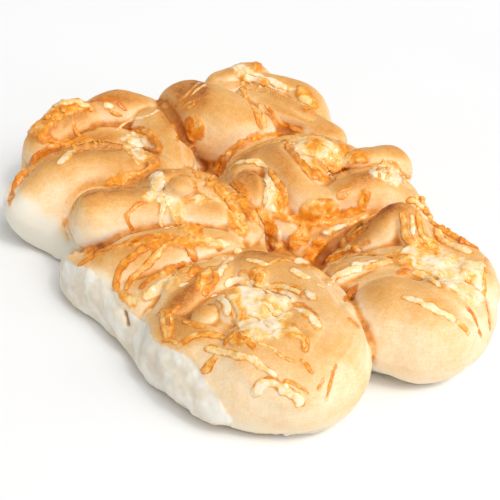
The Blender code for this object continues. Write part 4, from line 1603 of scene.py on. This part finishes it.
def crust_colour(shader, place, mottle, speck, streak, ragged):
    """Crust by how far it baked, darker in creases from browning and painted shade, stained and darkened by
    painted shade in the valleys, and stained along the strips.
    """
    patchy = shader.noise(place, *PATCHY)
    # The bake, darkened in creases by painted shade as well as by browning
    bake = shader.total(
        shader.stored("bake"), shader.driven(mottle, *BAKE_BY_MOTTLE),
        shader.driven(patchy, *BAKE_BY_PATCHY), shader.driven(speck, *BAKE_BY_SPECK),
        shader.driven(streak, *BAKE_BY_STREAK), shader.driven(shader.stored("crease"), *BAKE_AND_SHADE_BY_CREASE))
    crust = shader.ramp(bake, CRUST_COLOURS)
    # Stain of cheese fat in the valleys, with painted shade that darkens it in the deeper ones
    valley = shader.total(shader.stored("valley"), shader.driven(patchy, *VALLEY_BY_PATCHY))
    stained_and_shaded = shader.ramp(shader.driven(valley, *STAIN_AND_SHADE_BY_VALLEY), STAIN_AND_SHADE_COLOURS)
    crust = shader.mix(shader.driven(valley, *STAINED_AND_SHADED_BY_VALLEY), crust, stained_and_shaded)
    gap = shader.total(shader.stored("strip_gap"), shader.driven(ragged, *GAP_BY_RAGGED))
    fringe = shader.times(shader.driven(gap, *FRINGE_BY_GAP), edge_browning(shader, place))
    return shader.mix(fringe, crust, FRINGE)


def melted_tone(shader, place, edge, pools):
    """The browning of the film of cheese, from 0 for cream to 1 for brown."""
    rim = shader.times(shader.driven(edge, *RIM_BY_MELT), edge_browning(shader, place))
    veins = shader.math("ABSOLUTE", shader.math("SUBTRACT", shader.noise(place, *VEINS), 0.5))
    orange = shader.noise(place, *ORANGE_SPOTS)
    tone = shader.total(shader.stored("tone"), shader.driven(pools, *TONE_BY_POOLS), rim,
                        shader.driven(veins, *TONE_BY_VEINS), shader.driven(orange, *TONE_BY_ORANGE))
    return shader.math("MINIMUM", tone, DARKEST_TONE)


def bread_material():
    """Crust with melted cheese and torn crumb where they are."""
    shader = Shader("baked_bread")
    place = shader.place()
    mottle, speck, ragged, pools, lumps = (
        shader.noise(place, *kind) for kind in (MOTTLE, SPECK, RAGGED, POOLS, CRUMB_LUMPS))
    streak = shader.noise(shader.stretch(shader.stored("grain", "Vector"), STREAK_STRETCH), *STREAK)
    crust = crust_colour(shader, place, mottle, speck, streak, ragged)

    edge = shader.total(shader.stored("melt"), shader.driven(ragged, *MELT_BY_RAGGED))
    film = shader.driven(edge, *FILM_BY_MELT)
    tone = melted_tone(shader, place, edge, pools)
    colour = shader.mix(film, crust, shader.ramp(tone, CHEESE_COLOURS))

    # Painted shade in the crumb's dents, and in its creases and pits
    crumb = shader.mix(shader.driven(lumps, *SHADE_BY_LUMPS), CRUMB_WHITE, CRUMB_SHADE)
    crumb = shader.mix(shader.driven(shader.stored("crease"), *PIT_SHADE_BY_CREASE), crumb, CRUMB_PIT_SHADE)
    torn = shader.total(shader.stored("torn"), shader.driven(ragged, *TORN_BY_RAGGED))
    torn = shader.driven(torn, *CRUMB_BY_TORN)
    colour = shader.mix(torn, colour, crumb)

    rough = shader.between(film, shader.driven(mottle, *ROUGH_BY_MOTTLE),
                           shader.driven(tone, *ROUGH_BY_TONE))
    rough = shader.between(torn, rough, CRUMB_ROUGHNESS)
    crust_bump = shader.total(shader.times(speck, CRUST_BUMP[0]), shader.times(streak, CRUST_BUMP[1]))
    grain = shader.noise(place, *CHEESE_GRAIN)
    film_bump = shader.total(shader.times(pools, CHEESE_BUMP[0]), shader.times(grain, CHEESE_BUMP[1]))
    crumb_bump = shader.total(shader.times(shader.noise(place, *CRUMB_TEARS), CRUMB_BUMP), lumps)
    height = shader.between(torn, shader.between(film, crust_bump, film_bump), crumb_bump)
    shader.glow(*BREAD_GLOW)
    shader.surface.inputs["Specular IOR Level"].default_value = BREAD_SPECULAR
    return shader.finish(Base_Color=colour, Roughness=rough,
                         Normal=shader.bump(height, BREAD_BUMP_HEIGHT))


def cheese_material():
    """A melted strip: paler in the middle, browned along its edges, with small bubbles."""
    shader = Shader("melted_cheese")
    place = shader.place()
    patches = shader.noise(place, *STRIP_PATCHES)
    bubbles = shader.cells(place, BUBBLE_SCALE)
    across = shader.total(shader.stored("across"), shader.driven(patches, *ACROSS_BY_PATCHES))
    edge = shader.times(shader.driven(across, *EDGE_BY_ACROSS), edge_browning(shader, place))
    share, least = STRIP_TONE
    tone = shader.total(shader.times(shader.stored("brown"), share), least, edge,
                        shader.driven(patches, *STRIP_TONE_BY_PATCHES))
    tone = shader.math("MINIMUM", tone, DARKEST_TONE)
    height = shader.total(shader.times(patches, STRIP_BUMP), shader.driven(bubbles, *BUMP_BY_BUBBLES))
    shader.glow(*STRIP_GLOW)
    return shader.finish(Base_Color=shader.ramp(tone, CHEESE_COLOURS),
                         Roughness=shader.driven(patches, *STRIP_ROUGH_BY_PATCHES),
                         Normal=shader.bump(height, STRIP_BUMP_HEIGHT))


# The studio: lamps as (kind, power, azimuth, elevation, distance, spread). The spread is a
# sun's angle in degrees and the window's side in metres.
LAMPS = {
    "key": ("SUN", 1.6, 10.0, 52.0, 1.0, 38.0),
    "glint": ("SUN", 0.5, 10.0, 52.0, 1.0, 7.0),
    "window": ("AREA", 2.0, 40.0, 30.0, 1.1, 0.6),
}
WHITE = (1.0, 1.0, 1.0, 1.0)
SURROUND = 0.5
CLIP_START = 0.01
FLOOR_HALF = 3.0
FLOOR_TINT = (0.3, 0.7)
FLOOR_GREYS = ((0.90, 0.90, 0.90, 1.0), (0.93, 0.93, 0.93, 1.0))
FLOOR_ROUGHNESS = 0.8


def set_camera():
    """The photograph's camera."""
    _, _, back = camera_axes()
    data = bpy.data.cameras.new("camera")
    data.sensor_width = SENSOR_MM
    data.lens = FOCAL_PIXELS / VIEW_PIXELS * SENSOR_MM
    data.clip_start = CLIP_START
    camera = bpy.data.objects.new("camera", data)
    bpy.context.collection.objects.link(camera)
    camera.location = AIM + back * DISTANCE
    camera.rotation_euler = back.to_track_quat("Z", "Y").to_euler()
    bpy.context.scene.camera = camera


def add_lamp(name, kind, power, azimuth, elevation, distance, spread):
    """A lamp at an angle round the loaf, as the camera's is counted, facing its middle."""
    data = bpy.data.lights.new(name, kind)
    data.energy = power
    if kind == "SUN":
        data.angle = math.radians(spread)
    else:
        data.size = spread
    lamp = bpy.data.objects.new(name, data)
    bpy.context.collection.objects.link(lamp)
    turn, rise = math.radians(azimuth), math.radians(elevation)
    level = math.cos(rise)
    back = Vector((math.sin(turn) * level, -math.cos(turn) * level, math.sin(rise)))
    lamp.location = back * distance
    lamp.rotation_euler = back.to_track_quat("Z", "Y").to_euler()


def set_studio():
    """A white floor, an even white surround, a broad soft key and a window from the right."""
    scene = bpy.context.scene
    world = bpy.data.worlds.new("studio")
    world.use_nodes = True
    backdrop = world.node_tree.nodes["Background"]
    backdrop.inputs["Color"].default_value = WHITE
    backdrop.inputs["Strength"].default_value = SURROUND
    scene.world = world
    scene.view_settings.view_transform = "Standard"
    for name, lamp in LAMPS.items():
        add_lamp(name, *lamp)

    bm = bmesh.new()
    bmesh.ops.create_grid(bm, x_segments=1, y_segments=1, size=FLOOR_HALF)
    floor = mesh_object("floor", bm)
    shader = Shader("floor_paint")
    tint = shader.driven(shader.noise(shader.place(), *FLOOR_PATCHES), *FLOOR_TINT)
    floor.data.materials.append(shader.finish(
        Base_Color=shader.mix(tint, *FLOOR_GREYS), Roughness=FLOOR_ROUGHNESS))


def dress(piece, material):
    """A material and a slot for a piece that rides on the loaf in place of its solid."""
    piece.data.materials.clear()
    piece.data.materials.append(material)
    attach(piece, "root")
    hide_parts(NODE_NAME)


def main():
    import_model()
    bread = make_dough("bread")
    shape_dough(bread)
    surface = surface_of(bread)
    strips = laid_strips(surface, STRIPS)
    shreds = laid_strips(surface, RIDGES) + heaped_shreds(surface, random.Random(HEAP_SEED))
    strips += strewn_strips(surface, random.Random(STRIP_SEED))
    patches = strewn_patches(surface, random.Random(PATCH_SEED))
    finish_bread(bread, surface, strips + shreds, patches)
    surface = surface_of(bread)
    thin_out(bread, BREAD_TRIANGLES)
    cheese = strip_mesh("cheese_strips", strips, surface, STRIP_RISE)
    heap = strip_mesh("cheese_shreds", shreds, surface, SHRED_RISE)
    melted = cheese_material()
    dress(bread, bread_material())
    dress(cheese, melted)
    dress(heap, melted)
    set_camera()
    set_studio()


main()
